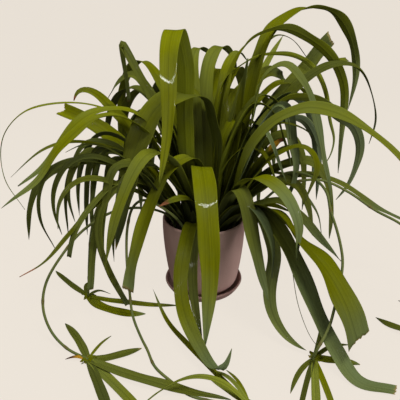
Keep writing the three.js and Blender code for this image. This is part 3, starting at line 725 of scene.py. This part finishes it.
def blade(points, side, width, tip, turn, number, look, seed, root_shade_and_pallor=0.4):
    """A leaf as a thin closed body along a curve, and its point attributes.

    `side` is the level direction across it, and `turn` rolls it about its own length: two or
    three angles in degrees, evenly along it. Its upper face is a shallow channel with ribs.
    The last argument is the brightness at its root: painted shade darkens the crown's own leaves there,
    and a plantlet's leaves are paler there."""
    rng = random.Random(seed)
    centre, t, length, along = line_through(points, BLADE["station"], 14, 150)
    count = len(t)

    def wave(low, high):
        return np.sin(2 * math.pi * length * t / rng.uniform(low, high) + rng.uniform(0, 7))

    side = np.asarray(side, float)
    level = unit(side - along * (along @ side)[:, None])
    wander = sum(rng.uniform(0.4, 1) * wave(60, 190) for _ in range(3))
    free = step(t, *BLADE["waves"])
    turned_by = np.interp(t, np.linspace(0, 1, len(turn)), turn)
    roll = np.radians(turned_by + BLADE["wander"] * wander * free)
    up = np.cross(along, level)
    face = up * np.cos(roll)[:, None] + level * np.sin(roll)[:, None]
    across = np.cross(face, along)

    least = BLADE["finest"] if tip == "point" else BLADE["torn"]
    half = np.maximum(width / 2 * outline(t, tip), least)
    half = half * (1 + BLADE["uneven"] * wave(45, 90) * free)
    columns = 2 * int(clamp(round(width / BLADE["rib"]), 2, 13)) + 1
    s = np.linspace(-1, 1, columns)[None, :]
    broad = half[:, None]
    hollow = (0.34 - 0.2 * step(t, 0.0, 0.3) + 0.05 * step(t, 0.7, 1))[:, None]
    lift = np.minimum(broad * hollow, BLADE["deepest"]) * (np.abs(s) ** 1.6 - 0.45)
    ripple, other = wave(55, 110)[:, None], wave(55, 110)[:, None]
    left, right = clamp(-s, 0, 1) ** 2, clamp(s, 0, 1) ** 2
    lift = lift + (BLADE["ripple"] * width * free)[:, None] * (left * ripple + right * other)
    ridge = np.where(np.arange(columns) % 2 == 0, BLADE["ridge"], -BLADE["ridge"])[None, :]
    ridge = ridge * clamp(broad / 4) * (np.abs(s) < 0.97)
    thick = BLADE["thick"] * (0.5 + 0.5 * clamp(half / 5))[:, None] * (1 - 0.5 * s**2)
    keel = BLADE["keel"] * np.exp(-((s * broad / 0.9) ** 2)) * clamp(broad / 4)
    back = torn_end(rng, t, s, width, tip)

    def places(height):
        return (
            centre[:, None, :]
            + across[:, None, :] * (broad * s)[..., None]
            + face[:, None, :] * height[..., None]
            + along[:, None, :] * back[..., None]
        ).reshape(-1, 3)

    vertices = np.vstack([places(lift + ridge), places(lift - thick - keel - ridge * 0.5)])
    values = leaf_values(look, number, root_shade_and_pallor, length * t, length, np.abs(s), broad * s)
    return (vertices, slab_faces(count, columns), *values)


def leaf_object(name, made, material, slot, node):
    vertices, faces, place, tone, share, colours = made
    vectors = {"blade": place, "tone": tone, "share": share}
    model_piece(name, vertices, faces, material, slot, node, vectors, colours)


# Looks: warm (0 blue-green, 1 olive), brightness, the share of the length where the leaf
# starts to turn blue-green, its dry tip, and how glossy it is. The brightness is painted light
# and shade: leaves in the light are painted brighter, and the dark looks are painted shade for
# leaves deep in the crown. The blue-green is mostly a painted sky reflection.
OLIVE = (0.95, 1.05, 0.75, "none", 0.1)
LIT_BRIGHT = (1.0, 1.2, 0.8, "none", 0.15)
SHADED_DEEP = (0.7, 0.72, 0.8, "none", 0.1)
SHADED_DARK = (0.6, 0.5, 0.9, "none", 0.05)
SKY_SHEEN = (0.35, 1.0, 0.3, "none", 0.1)
PALE = (0.75, 1.25, 0.9, "none", 0.03)


def look(kind, **changes):
    keys = ("warm", "bright", "cool", "tip", "gloss")
    return tuple(changes.get(key, value) for key, value in zip(keys, kind))


# Each row: azimuth, width, foot, tip, turn, look, and the path as (out, up, side) from the
# pot's axis: out along the azimuth, up from the surface, and to the left of the azimuth.
NO_TURN = (0, 0)
FRONT = [
    (262, 22, 4, "point", NO_TURN, look(LIT_BRIGHT, cool=0.9, gloss=1.0), [(10, 130, -20), (15, 255, -23),
     (30, 328, -20), (58, 366, -25), (84, 350, -26), (95, 325, -26), (100, 310, -25), (104, 292, -25),
     (112, 258, -26), (127, 205, -33)]),
    (270, 26, 12, "point", NO_TURN, look(LIT_BRIGHT, bright=1.08, cool=0.7, gloss=0.9), [(18, 125),
     (40, 178), (68, 213, -4), (98, 197), (122, 153, 4), (137, 95, 6), (168, 22)]),
    (264, 18, 24, "point", NO_TURN, look(OLIVE, bright=0.95, cool=0.6, gloss=0.03), [(32, 112, -5),
     (65, 132, -10), (95, 112, -15), (113, 80, -18), (138, 48, -10), (170, 26, 12), (192, 17, 32),
     (194, 22, 42), (184, 40, 49)]),
    (266, 13, 20, "point", NO_TURN, SHADED_DEEP, [(30, 114), (68, 128, -4), (95, 98, -8), (115, 65, -6),
     (132, 38), (150, 14, 8)]),
    (228, 18, 6, "cut", (0, 15), look(OLIVE, bright=1.25, tip="pale"), [(2, 135), (5, 180), (25, 210),
     (60, 206), (90, 180), (115, 140), (135, 95), (145, 60)]),
    (230, 19, 8, "point", (0, 10), look(PALE, warm=0.8, bright=1.1, cool=0.9), [(24, 136), (56, 203),
     (85, 230), (105, 231), (121, 220), (141, 196), (157, 170), (168, 143), (179, 111)]),
    (212, 33, 2, "point", (-20, 60), look(OLIVE, warm=0.85, bright=0.85, cool=0.7, tip="yellow"),
     [(-17, 182), (-16, 239), (-4, 278), (21, 293), (64, 282), (96, 240), (117, 178), (137, 98)]),
    (300, 20, 20, "point", (0, 10), look(SHADED_DEEP, bright=0.8, cool=0.65), [(50, 140), (70, 172), (84, 186),
     (100, 172), (117, 135), (135, 95), (155, 62)]),
    (305, 14, 25, "point", (0, -20), look(SKY_SHEEN, bright=0.8), [(50, 130), (78, 158), (102, 165),
     (125, 153), (141, 130), (144, 84)]),
    (308, 20, 16, "point", (0, 10), look(LIT_BRIGHT, bright=1.05, cool=0.5), [(48, 142), (72, 182),
     (105, 203), (145, 195), (168, 165), (172, 120)]),
    (314, 40, 22, "slant", (-10, -32, 20), look(LIT_BRIGHT, bright=0.82, cool=0.75), [(50, 128), (77, 151),
     (115, 163), (160, 140), (199, 114), (229, 80), (248, 42)]),
    (312, 24, 28, "blunt", (0, 14), look(SHADED_DEEP, bright=1.0, cool=0.35, gloss=0.02), [(54, 126),
     (80, 147), (107, 159), (141, 134), (168, 103), (200, 62, -5), (232, 22, -4), (262, 4, -7),
     (295, 3, 12)]),
    (240, 10, 8, "point", (20, 40), look(OLIVE, tip="pink"), [(10, 128), (30, 150), (55, 163),
     (82, 168), (110, 170)]),
]
LEFT = [
    (165, 11, 12, "cut", (20, 60), look(SHADED_DEEP, bright=0.8), [(40, 200), (65, 265), (79, 293), (96, 322),
     (109, 346), (113, 352), (112, 342), (109, 316), (107, 275)]),
    (150, 14, 12, "point", (20, 60), look(SHADED_DEEP, bright=0.85), [(40, 180), (68, 240), (90, 288),
     (115, 308), (142, 298), (168, 270)]),
    (195, 17, 14, "point", (10, 70), look(OLIVE, cool=0.98, tip="brown"), [(45, 150), (75, 198),
     (101, 253), (119, 275), (134, 292), (147, 299), (158, 297), (163, 286)]),
    (170, 21, 20, "notch", (30, 82), look(LIT_BRIGHT, bright=1.5, cool=0.98), [(60, 148), (92, 188),
     (120, 218), (150, 240), (178, 254), (205, 264)]),
    (205, 18, 12, "point", (-25, 35), look(OLIVE, bright=1.15, gloss=0.0), [(30, 150), (55, 215),
     (75, 255), (100, 275), (135, 278), (160, 268), (182, 248), (210, 215), (238, 198)]),
    (213, 16, 14, "point", (-25, 30), look(OLIVE, bright=1.1, gloss=0.0), [(32, 145), (60, 200),
     (85, 248), (115, 272), (150, 272), (188, 247), (222, 210), (260, 188)]),
    (178, 5, 16, "point", (0, 30), look(OLIVE, bright=1.4), [(60, 215), (105, 255), (145, 273),
     (190, 276), (240, 265), (272, 238), (285, 208), (286, 165), (265, 120)]),
    (200, 6, 18, "point", (10, 30), look(OLIVE, bright=0.8), [(72, 185), (112, 222), (145, 236),
     (178, 240), (203, 234), (222, 222), (245, 203)]),
    (208, 6, 20, "point", (10, 20), SHADED_DEEP, [(78, 185), (118, 222), (142, 238), (162, 241), (182, 234)]),
    (204, 7, 22, "point", (10, 60), SHADED_DARK, [(76, 165), (108, 198), (138, 214), (170, 220), (200, 212),
     (216, 185), (220, 150), (208, 105)]),
    (210, 8, 18, "point", (10, 60), SHADED_DARK, [(78, 170), (118, 208), (155, 228), (182, 222), (200, 198),
     (205, 170), (200, 135)]),
    (215, 8, 20, "point", (10, 60), SHADED_DEEP, [(82, 158), (130, 192), (165, 206), (188, 200), (203, 180),
     (207, 152)]),
    (196, 13, 16, "point", (10, 75), SHADED_DARK, [(72, 170), (112, 200), (150, 212), (188, 207), (214, 190),
     (232, 155), (240, 110)]),
    (215, 8, 18, "cut", (10, 30), look(SHADED_DEEP, bright=0.95), [(86, 163), (115, 193), (137, 191),
     (160, 175), (181, 154), (193, 133), (199, 112)]),
    (214, 8, 24, "point", (10, 20), look(OLIVE, bright=0.75, tip="pink"), [(55, 140), (90, 168),
     (130, 182), (162, 168), (195, 140), (228, 112), (256, 103)]),
    (212, 9, 16, "cut", (10, 60), look(SHADED_DEEP, bright=0.85), [(60, 160), (102, 213), (124, 213),
     (142, 184), (156, 146), (166, 107), (176, 50)]),
    (200, 10, 18, "point", (0, 75), SHADED_DARK, [(78, 165), (116, 222), (138, 230), (153, 208), (162, 162),
     (166, 112)]),
    (203, 10, 20, "point", (0, -70), SHADED_DARK, [(80, 168), (110, 220), (132, 228), (148, 195), (158, 149),
     (158, 99)]),
    (216, 10, 22, "point", (0, 60), SHADED_DEEP, [(78, 166), (110, 212), (132, 214), (146, 181), (156, 137),
     (158, 92)]),
    (190, 9, 18, "point", (0, 75), SHADED_DARK, [(76, 175), (120, 226), (156, 230), (177, 197), (190, 153),
     (193, 100)]),
    (226, 10, 20, "point", (0, 20), SHADED_DARK, [(80, 168), (110, 208), (131, 208), (146, 176), (155, 140),
     (158, 105)]),
    (186, 10, 22, "point", (0, 80), SHADED_DEEP, [(74, 170), (110, 212), (135, 215), (152, 178), (161, 128)]),
    (176, 10, 20, "point", (0, -75), SHADED_DARK, [(75, 180), (113, 228), (143, 234), (168, 204), (183, 158),
     (187, 108)]),
    (216, 9, 14, "cut", (10, 60), look(SHADED_DEEP, bright=0.85), [(62, 160), (108, 192), (140, 182),
     (157, 155), (161, 120), (153, 80), (141, 42), (130, 14)]),
    (196, 12, 18, "point", (0, 50), look(SHADED_DEEP, bright=0.9), [(90, 172), (129, 210), (150, 225),
     (169, 209), (181, 183), (183, 157), (180, 128)]),
    (201, 13, 18, "point", (0, 30), SHADED_DARK, [(80, 168), (115, 214), (128, 210), (136, 184), (141, 158),
     (143, 126)]),
    (222, 16, 14, "point", (0, 20), SHADED_DARK, [(28, 143), (47, 168), (65, 191), (83, 208), (98, 214),
     (112, 209), (123, 194)]),
]
RIGHT = [
    (22, 16, 12, "point", (25, -75), look(OLIVE, bright=0.95), [(15, 180), (23, 266), (36, 314),
     (57, 348), (80, 362), (115, 368), (150, 358), (184, 340), (209, 318), (228, 284), (233, 240),
     (235, 190), (238, 150)]),
    (30, 22, 20, "point", (55, -34), look(OLIVE, bright=0.9), [(45, 160), (65, 260), (86, 335),
     (110, 372), (145, 390), (190, 396), (225, 388), (265, 352), (285, 300), (278, 245)]),
    (30, 8, 10, "point", (10, -80), look(OLIVE, bright=1.6), [(15, 200), (28, 300), (55, 322),
     (91, 334), (141, 334), (177, 322), (205, 300), (225, 269), (238, 231), (254, 196), (247, 166),
     (225, 144)]),
    (45, 19, 10, "cut", (20, 55), OLIVE, [(14, 160), (37, 206), (46, 246), (58, 272), (83, 290),
     (113, 303), (142, 309), (181, 298)]),
    (55, 14, 14, "point", (20, 20), PALE, [(55, 170), (108, 248), (170, 312), (235, 360)]),
    (35, 23, 18, "cut", (35, 55), look(SHADED_DEEP, bright=0.8, tip="pale"), [(50, 150), (85, 202), (106, 235),
     (130, 264), (159, 289), (189, 310), (215, 335), (242, 355)]),
    (40, 12, 16, "cut", (20, 30), look(OLIVE, cool=0.9), [(62, 172), (133, 253), (202, 287), (252, 307),
     (294, 317), (331, 320)]),
    (18, 16, 20, "point", (20, 30), look(SHADED_DEEP, bright=0.6), [(62, 178), (98, 252), (145, 300),
     (195, 323), (235, 315), (262, 285), (280, 240), (275, 200)]),
    (40, 6, 14, "point", (10, 20), SHADED_DEEP, [(42, 232), (85, 320), (132, 358), (172, 354), (215, 325)]),
    (20, 18, 10, "point", (10, 10), look(OLIVE, bright=0.95), [(24, 130), (37, 173), (48, 223),
     (52, 265), (56, 304), (61, 331)]),
    (312, 18, 14, "point", (0, 50), look(PALE, warm=0.5, bright=1.25), [(40, 122, 12), (68, 137, 20),
     (90, 137, 21), (110, 118, 16), (125, 98, 8), (133, 76, -6), (139, 58, -15), (149, 36, -19),
     (169, 17, -19), (187, 9, -16), (198, 7, -13)]),
    (318, 19, 18, "point", (60, 50, -10), look(PALE, warm=0.8, bright=1.0, cool=0.98), [(54, 161),
     (61, 195), (72, 225), (91, 252), (110, 270), (129, 281), (149, 288), (180, 286), (213, 274),
     (244, 256), (274, 225)]),
    (14, 17, 20, "point", (0, -80), look(OLIVE, bright=0.85, cool=0.5), [(55, 190), (87, 253),
     (112, 277), (137, 280), (160, 276), (180, 266), (204, 248), (225, 238), (240, 218), (246, 194),
     (241, 162), (231, 138), (216, 118)]),
    (338, 16, 16, "point", (0, 35), look(SHADED_DEEP, bright=0.9, cool=0.5), [(40, 180), (65, 259), (77, 314),
     (102, 328), (120, 315), (134, 295), (145, 265), (156, 229), (166, 195), (175, 159)]),
    (335, 12, 16, "point", NO_TURN, SKY_SHEEN, [(55, 190), (80, 260), (100, 282), (112, 268), (116, 240)]),
    (342, 15, 22, "point", (20, 55, 60), look(SKY_SHEEN, warm=0.5), [(53, 176), (78, 239), (94, 273),
     (103, 280), (112, 264), (116, 239), (124, 213), (125, 189), (120, 166), (115, 148)]),
    (332, 13, 24, "point", (0, 25), look(OLIVE, bright=0.8), [(62, 165), (92, 212), (113, 228),
     (130, 236), (146, 230), (154, 211), (148, 181), (141, 156)]),
    (352, 9, 24, "point", (20, 20), SHADED_DEEP, [(65, 172), (98, 215), (130, 224), (156, 195)]),
    (325, 19, 27, "point", (0, 10), look(SHADED_DEEP, cool=0.6), [(60, 136), (92, 157), (116, 167), (144, 153),
     (170, 132), (188, 118), (201, 107)]),
    (5, 14, 24, "blunt", (20, 60), look(OLIVE, tip="dried"), [(50, 138), (66, 172), (86, 202),
     (99, 220), (106, 228), (112, 226)]),
    (325, 7, 27, "point", NO_TURN, SHADED_DARK, [(54, 128), (78, 142), (102, 132), (135, 102), (166, 78)]),
    (348, 13, 28, "point", (10, 10), OLIVE, [(50, 126), (70, 136), (96, 140), (126, 132)]),
    (2, 12, 26, "point", (10, 40), look(SHADED_DEEP, bright=0.85, cool=0.6, gloss=0.0), [(62, 146), (105, 170),
     (138, 177), (173, 172), (198, 163), (211, 155), (231, 141), (258, 123), (294, 106), (327, 92)]),
    (8, 14, 20, "point", (0, -75), SKY_SHEEN, [(52, 182), (96, 243), (133, 254), (156, 230), (168, 185),
     (171, 130)]),
    (357, 14, 20, "point", (0, 70), SHADED_DEEP, [(51, 173), (84, 226), (111, 238), (131, 213), (140, 171),
     (141, 127)]),
    (20, 14, 20, "point", (0, -78), SKY_SHEEN, [(47, 194), (92, 264), (132, 281), (164, 256), (180, 204),
     (182, 148)]),
    (358, 15, 24, "point", (0, 72), SHADED_DEEP, [(62, 156), (110, 194), (147, 200), (171, 172), (184, 124),
     (186, 80)]),
    (342, 14, 26, "point", (0, 50), SHADED_DEEP, [(60, 147), (97, 178), (127, 178), (145, 151), (155, 107)]),
    (340, 5, 22, "point", (0, 20), look(OLIVE, bright=0.9), [(65, 206), (79, 237), (100, 258),
     (120, 256), (138, 248), (150, 231)]),
    (356, 7, 24, "point", (0, 40), look(SHADED_DEEP, cool=0.5), [(65, 164), (92, 184), (120, 176), (143, 151),
     (164, 121), (174, 84)]),
    (330, 8, 18, "point", (0, 40), look(SKY_SHEEN, bright=0.9), [(66, 209), (78, 240), (85, 253), (96, 237),
     (109, 209), (119, 188)]),
]
BACK = [
    (92, 16, 6, "point", NO_TURN, look(PALE, bright=1.0), [(12, 195, 8), (24, 288, 12), (45, 326, 14),
     (85, 342, 6), (122, 335, -12), (155, 308, -25)]),
    (78, 20, 8, "point", NO_TURN, look(PALE, bright=1.0), [(12, 195), (27, 285, 4), (60, 328, 4),
     (110, 344, -4), (152, 330, -14), (182, 295, -20)]),
    (60, 18, 12, "point", (0, 20), OLIVE, [(32, 206), (51, 281), (72, 326), (100, 338), (135, 322)]),
    (112, 17, 12, "point", NO_TURN, look(SHADED_DEEP, bright=0.6), [(55, 200), (94, 266), (132, 301),
     (175, 306), (231, 278)]),
]

# The dry thread that hangs from the end of a front leaf.
THREAD = [(103.6, -132.6, 98.8), (109.4, -140, 68.9), (116.5, -149.1, 47), (125, -160, 29.8),
          (131.6, -168.4, 24)]


GOLDEN = 137.5  # degrees from one leaf of the crown to the next
LEAF_BASES = {"count": 34, "reach": 26, "low": 108, "top": 160}


def seeded(seed):
    """The same random numbers as the part's source draws."""
    state = seed

    def draw():
        nonlocal state
        state = (state * 1664525 + 1013904223) % 4294967296
        return state / 4294967296

    return draw


def ruled_rows():
    """The rest of the crown, by rule: upright inner leaves, and arches behind them."""
    draw = seeded(20)
    rng = random.Random(5)
    rows = []

    def vary(middle, spread):
        return middle + spread * (2 * draw() - 1)

    def arch(azimuth, width, foot, rise, reach, end, kinds):
        steps = ((0.18, 0.62), (0.36, 0.88), (0.56, 1), (0.76, 0.93), (0.9, 0.74))
        path = [(foot + (reach - foot) * o, SOIL_TOP + (rise - SOIL_TOP) * u) for o, u in steps]
        path.append((reach, min(end, rise * 0.72)))
        kind = look(rng.choice(kinds), tip=rng.choice(("none", "none", "brown", "yellow")))
        rows.append((azimuth, width, foot, "point", (0, vary(0, 25)), kind, path))

    # Most of these inner leaves take dark looks: painted shade deep in the crown.
    # the widths, feet and sizes are drawn in the order that the source draws them
    for i in range(12):
        width, *sizes = vary(17, 3), vary(255, 35), vary(105, 25), vary(190, 20)
        arch(340 + i * GOLDEN % 220, width, 6 + i, *sizes, (SHADED_DEEP, SHADED_DARK, OLIVE))
    for i in range(11):
        azimuth, width, foot = vary(42 + i * 10.5, 6), vary(17, 4), vary(16, 8)
        sizes = vary(290, 35), vary(225, 30), vary(130, 40)
        arch(azimuth, width, foot, *sizes, (OLIVE, SHADED_DEEP, PALE))
    for i in range(7):
        azimuth, width, *sizes = (
            vary(50 + i * 14, 9), vary(16, 3), vary(185, 22), vary(190, 30), vary(45, 20)
        )
        arch(azimuth, width, 26, *sizes, (SHADED_DEEP, OLIVE))
    return rows


def base_rows():
    """Short leaf bases that sheathe the crown down to the soil, in the darkest look: painted shade."""
    rng = random.Random(11)
    rows = []
    count, reach, low = (LEAF_BASES[key] for key in ("count", "reach", "low"))
    for i in range(count):
        out = 3 + reach * math.sqrt((i + 0.5) / count)
        top = LEAF_BASES["top"] - 0.8 * out + rng.uniform(-8, 8)
        lean = 6 + out * 0.35 + rng.uniform(-3, 3)
        path = [(out + lean * 0.3, low), (out + lean * 0.7, 0.5 * (top + low)), (out + lean, top)]
        width, turn = rng.uniform(12, 18), (0, rng.uniform(-20, 20))
        rows.append((i * GOLDEN, width, out, "point", turn, SHADED_DARK, path))
    return rows


def strap(row, number):
    """A leaf of the crown, from its row."""
    azimuth, width, foot, tip, turn, kind, path = row
    angle = math.radians(azimuth)
    out = np.array([math.cos(angle), math.sin(angle), 0])
    side = np.array([-out[1], out[0], 0])
    points = []
    for place in [(foot, BLADE["root"], *path[0][2:]), *path]:
        reach, up, aside = (*place, 0)[:3]
        points.append(out * reach + side * aside + np.array([0, 0, up]))
    towards_front = -1 if out[0] > 0 else 1
    turn = [a * towards_front for a in turn]
    return blade(points, side, width, tip, turn, number, kind, 100 + number)


def crown_pieces(material):
    groups = {"front": FRONT, "left": LEFT, "right": RIGHT, "back": BACK, "inner": ruled_rows()}
    number = 0
    for group, rows in groups.items():
        for i, row in enumerate(rows, 1):
            number += 1
            leaf_object(f"leaf_{group}_{i:02d}", strap(row, number), material, "leaf", "leaf_clump")
    thread = tube(THREAD, lambda t: 0.42 - 0.1 * t, 6, number)
    leaf_object("leaf_front_10_thread", thread, material, "leaf", "leaf_clump")
    bases = joined([strap(row, 200 + i) for i, row in enumerate(base_rows())])
    leaf_object("leaf_bases", bases, material, "leaf", "leaf_clump")


# ---- runners and plantlets

STEM = {"station": 3.0, "joint": 0.35, "joint_length": 2.6, "joint_brown": 0.5}
RUNNER = {"radius": 1.8, "sides": 12, "depth": 12, "joints": (0.3, 0.52, 0.72, 0.9)}
PLANTLET = {"hub_height": 5.5, "rest": 1.3}

# Each runner starts in the soil at `root`, hangs over the rim along `path` and ends in its
# plantlet at `hub`. The plantlet's leaves are (azimuth, length, width, rise, bend, tip, look).
RUNNERS = [
    {
        "name": "runner_left",
        "root": (-41, -14),
        "path": [(-50, -20, 124), (-78, -36, 142), (-115, -58, 148), (-152, -80, 132),
                 (-178, -100, 105), (-196, -116, 75), (-200, -126, 45), (-190, -136, 18),
                 (-170, -148, 4)],
        "hub": (-138, -167),
        "leaves": [(116, 83, 10, 4, 16, 1.3, SHADED_DEEP), (151, 29, 5, 5, 36, 1.3, look(OLIVE, tip="dried")),
                   (67, 47, 4, 7, 0, 1.3, OLIVE), (358, 65, 11, 4, 34, 1.3, look(SHADED_DEEP, tip="pale")),
                   (328, 175, 12, 7, 22, 1.3, look(SHADED_DEEP, bright=0.8)), (319, 126, 11, 4, -6, 1.3,
                   look(SHADED_DEEP, bright=1.1)), (301, 110, 11, 5, -4, 1.3, SHADED_DARK)],
    },
    {
        "name": "runner_far_left",
        "root": (-43, 4),
        "path": [(-54, 3, 124), (-80, -6, 150), (-112, -18, 165), (-140, -28, 150), (-156, -34, 110),
                 (-164, -38, 60), (-168, -41, 22)],
        "hub": (-170, -43),
        "leaves": [(145, 103, 9, 6, -16, 1.3, SHADED_DEEP), (337, 137, 10, 5, 24, 1.3, OLIVE),
                   (298, 101, 15, 4, 63, 1.3, OLIVE), (128, 44, 7, 8, -44, 1.3, SHADED_DEEP),
                   (55, 34, 6, 8, -61, 1.3, SHADED_DEEP)],
    },
    {
        "name": "runner_front",
        "root": (-27, -34),
        "path": [(-34, -43, 126), (-58, -52, 152), (-79, -57, 163), (-91, -62, 156), (-98, -72, 134),
                 (-100, -84, 97), (-97, -98, 58), (-92, -114, 25), (-80, -132, 6), (-70, -150, 2.8),
                 (-58, -177, 2.6), (-38, -198, 2.6), (-18, -216, 2.6), (14, -226, 2.8)],
        "hub": (46, -230),
        "leaves": [(133, 211, 7, 6, -14, 26, OLIVE), (134, 122, 6, 24, 74, 1.3, PALE),
                   (107, 54, 4, 10, 10, 1.3, OLIVE), (150, 62, 7, 6, -23, 1.3, PALE),
                   (126, 60, 5, 14, 0, 1.3, PALE), (335, 110, 11, 10, -6, 1.3, OLIVE),
                   (285, 96, 11, 12, 6, 1.3, OLIVE), (240, 92, 10, 10, 8, 1.3, PALE)],
    },
    {
        "name": "runner_right",
        "root": (43, -5),
        "path": [(49, -4, 118), (64, -2, 140), (86, -12, 163), (110, -28, 190), (134, -52, 194),
                 (150, -74, 181), (153, -88, 162), (157, -101, 148), (161, -114, 130), (163, -124, 112),
                 (157, -141, 92), (148, -158, 72), (140, -170, 52), (127, -180, 32), (124, -175, 12)],
        "hub": (130, -165),
        "leaves": [(213, 62, 6, 5, 30, 1.3, SHADED_DEEP), (243, 98, 6, 8, 4, 1.3, SHADED_DARK),
                   (256, 104, 9, 8, 2, 1.3, PALE), (270, 98, 7, 7, 2, 1.3, OLIVE),
                   (358, 53, 12, 4, -10, 1.3, OLIVE), (53, 80, 6, 22, 27, 1.3, SHADED_DEEP),
                   (40, 58, 6, 8, -22, 1.3, SHADED_DEEP)],
    },
    {
        "name": "runner_far_right",
        "root": (42, -14),
        "path": [(50, -19, 121), (80, -24, 147), (106, -20, 168), (132, -25, 178), (158, -30, 180),
                 (190, -42, 168), (225, -52, 146), (258, -62, 130), (292, -76, 100), (316, -96, 55),
                 (316, -116, 18)],
        "hub": (300, -130),
        "leaves": [(200, 85, 9, 8, -85, 1.3, SHADED_DEEP), (98, 82, 10, 16, 6, 1.3, OLIVE),
                   (35, 74, 9, 18, 0, 1.3, OLIVE), (340, 84, 10, 12, -8, 1.3, OLIVE),
                   (292, 78, 10, 14, 6, 1.3, SHADED_DEEP), (246, 58, 8, 10, 0, 1.3, OLIVE)],
    },
]


def tube(points, radius, sides, number, joints=()):
    """A round stem along a curve; `radius` is a function of the share of the length. It
    thickens and browns a little at its joints."""
    centre, t, length, along = line_through(points, STEM["station"], 12, 260)
    count = len(t)
    upright = np.abs(along[:, 2:]) >= 0.9
    first = unit(np.cross(along, np.where(upright, [[0, 1.0, 0]], [[0, 0, 1.0]])))
    for i in range(1, count):
        turned_on = first[i - 1] - along[i] * (first[i - 1] @ along[i])
        first[i] = turned_on / np.linalg.norm(turned_on)
    second = np.cross(along, first)
    brown = np.zeros(count)
    wide = radius(t)
    for joint in joints:
        near = np.exp(-(((t - joint) * length / STEM["joint_length"]) ** 2))
        wide = wide + STEM["joint"] * near
        brown = np.maximum(brown, STEM["joint_brown"] * near)
    angles = around(sides)
    c, s = np.cos(angles)[None, :, None], np.sin(angles)[None, :, None]
    ring = (first[:, None, :] * c + second[:, None, :] * s) * wide[:, None, None]
    vertices = (centre[:, None, :] + ring).reshape(-1, 3)
    faces = []
    for low in range(0, (count - 1) * sides, sides):
        faces += ring_faces(low, low + sides, sides)
    faces.append(list(range(sides))[::-1])
    faces.append([(count - 1) * sides + k for k in range(sides)])
    ones = np.ones((count, sides))
    place = [ones * (angles / math.pi)[None, :], ones * (t * length)[:, None], ones * number]
    tone = [ones * 0.6, ones * 0.9, ones * brown[:, None]]
    place, tone = (np.stack(values, -1).reshape(-1, 3) for values in (place, tone))
    colours = np.tile([0.2, 0.1, 0.05, 1.0], (count * sides, 1))
    return (vertices, faces, place, tone, np.zeros((count * sides, 3)), colours)


def plantlet_leaf(hub, row, number):
    """A leaf that rises from the plantlet's heart, and comes down to the floor."""
    azimuth, length, width, rise, bend, tip, kind = row
    steps = ((0, 0.3), (0.25, 0.85), (0.5, 1), (0.78, 0.55), (1, 0))
    rest = PLANTLET["rest"]
    x, y = hub
    before, points = 0, []
    for along, height in steps:
        heading = math.radians(azimuth + bend * along)
        x += (along - before) * length * math.cos(heading)
        y += (along - before) * length * math.sin(heading)
        before = along
        points.append([x, y, rest + (rise - rest) * height])
    points[0][2] = PLANTLET["hub_height"] * 0.8
    points[4][2] = tip
    side = (-math.sin(math.radians(azimuth)), math.cos(math.radians(azimuth)), 0)
    # a plantlet's leaves are paler at the root, with no painted shade there
    return blade(points, side, width, "point", (0, 0), number, kind, 300 + number, root_shade_and_pallor=1.15)


def plantlet_hub(hub, number):
    """The plantlet's heart: short sheathing leaves, and a few brown root nubs under them."""
    rng = random.Random(number)
    pieces = []
    for i in range(5):
        length, rise, tip = rng.uniform(6, 13), rng.uniform(5, 7), rng.uniform(2.5, 4.5)
        row = (i * GOLDEN + 40 * number, length, 5, rise, 0, tip, look(OLIVE, bright=0.9))
        pieces.append(plantlet_leaf(hub, row, number + i))
    for i in range(4):
        angle = 2 * math.pi * (i + rng.random() * 0.6) / 4
        out = np.array([math.cos(angle), math.sin(angle), 0])
        start = np.array([*hub, 3.2]) + out * 1.5
        reach = rng.uniform(4.5, 7.5)
        points = [start, start + out * reach * 0.6 + [0, 0, -1.0], start + out * reach + [0, 0, -1.6]]
        pieces.append(tube(points, lambda t: 1.1 * (1 - 0.75 * t**2), 8, number))
    return pieces


def tapered(t):
    return RUNNER["radius"] * (1 - 0.1 * t)


def runner_pieces(leaf, stem):
    for index, runner in enumerate(RUNNERS):
        name, root, hub = runner["name"], runner["root"], runner["hub"]
        start = [(*root, SOIL_TOP - RUNNER["depth"]), (*root, SOIL_TOP + 4)]
        points = [*start, *runner["path"], (*hub, PLANTLET["hub_height"] * 0.7)]
        made = tube(points, tapered, RUNNER["sides"], index * 5, RUNNER["joints"])
        leaf_object(name + "_stem", made, stem, "runner", name)
        rows = enumerate(runner["leaves"], 10 * index)
        leaves = [plantlet_leaf(hub, row, number) for number, row in rows]
        made = joined(leaves + plantlet_hub(hub, 50 + 10 * index))
        leaf_object(name + "_plantlet", made, leaf, "leaf", name)


# ---- the floor

FLOOR = {"radius": 3.2, "rise": 1.6, "height": 3.2, "albedo": 0.045, "glow": 0.985}
FLOOR_RINGS = (0, 0.04, 0.1, 0.25, 0.5, 0.75, 1)


def floor_piece():
    """A round studio floor that sweeps up into a plain wall."""
    radius, rise = FLOOR["radius"], FLOOR["rise"]
    profile = [(radius * share, 0) for share in FLOOR_RINGS]
    for angle in np.linspace(0, math.pi / 2, 17)[1:]:
        profile.append((radius + rise * math.sin(angle), rise * (1 - math.cos(angle))))
    profile.append((radius + rise, FLOOR["height"]))
    inward = profile[::-1]  # so that the floor's faces look up
    made = smooth_object("floor", *turned(inward, 96), floor_material())
    made.visible_diffuse = made.visible_glossy = False
    made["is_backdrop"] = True


# ---- the scene

studio()
floor_piece()
pot_piece(glaze_material("pot_glaze"))
saucer_piece(glaze_material("saucer_glaze"))
soil_piece(soil_material())
leaf_look = leaf_material()
crown_pieces(leaf_look)
runner_pieces(leaf_look, runner_material())

seen_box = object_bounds()
boxes = {"cad": cad_box, "visual": seen_box}
boxes = {key: [[float(v) for v in corner] for corner in box] for key, box in boxes.items()}
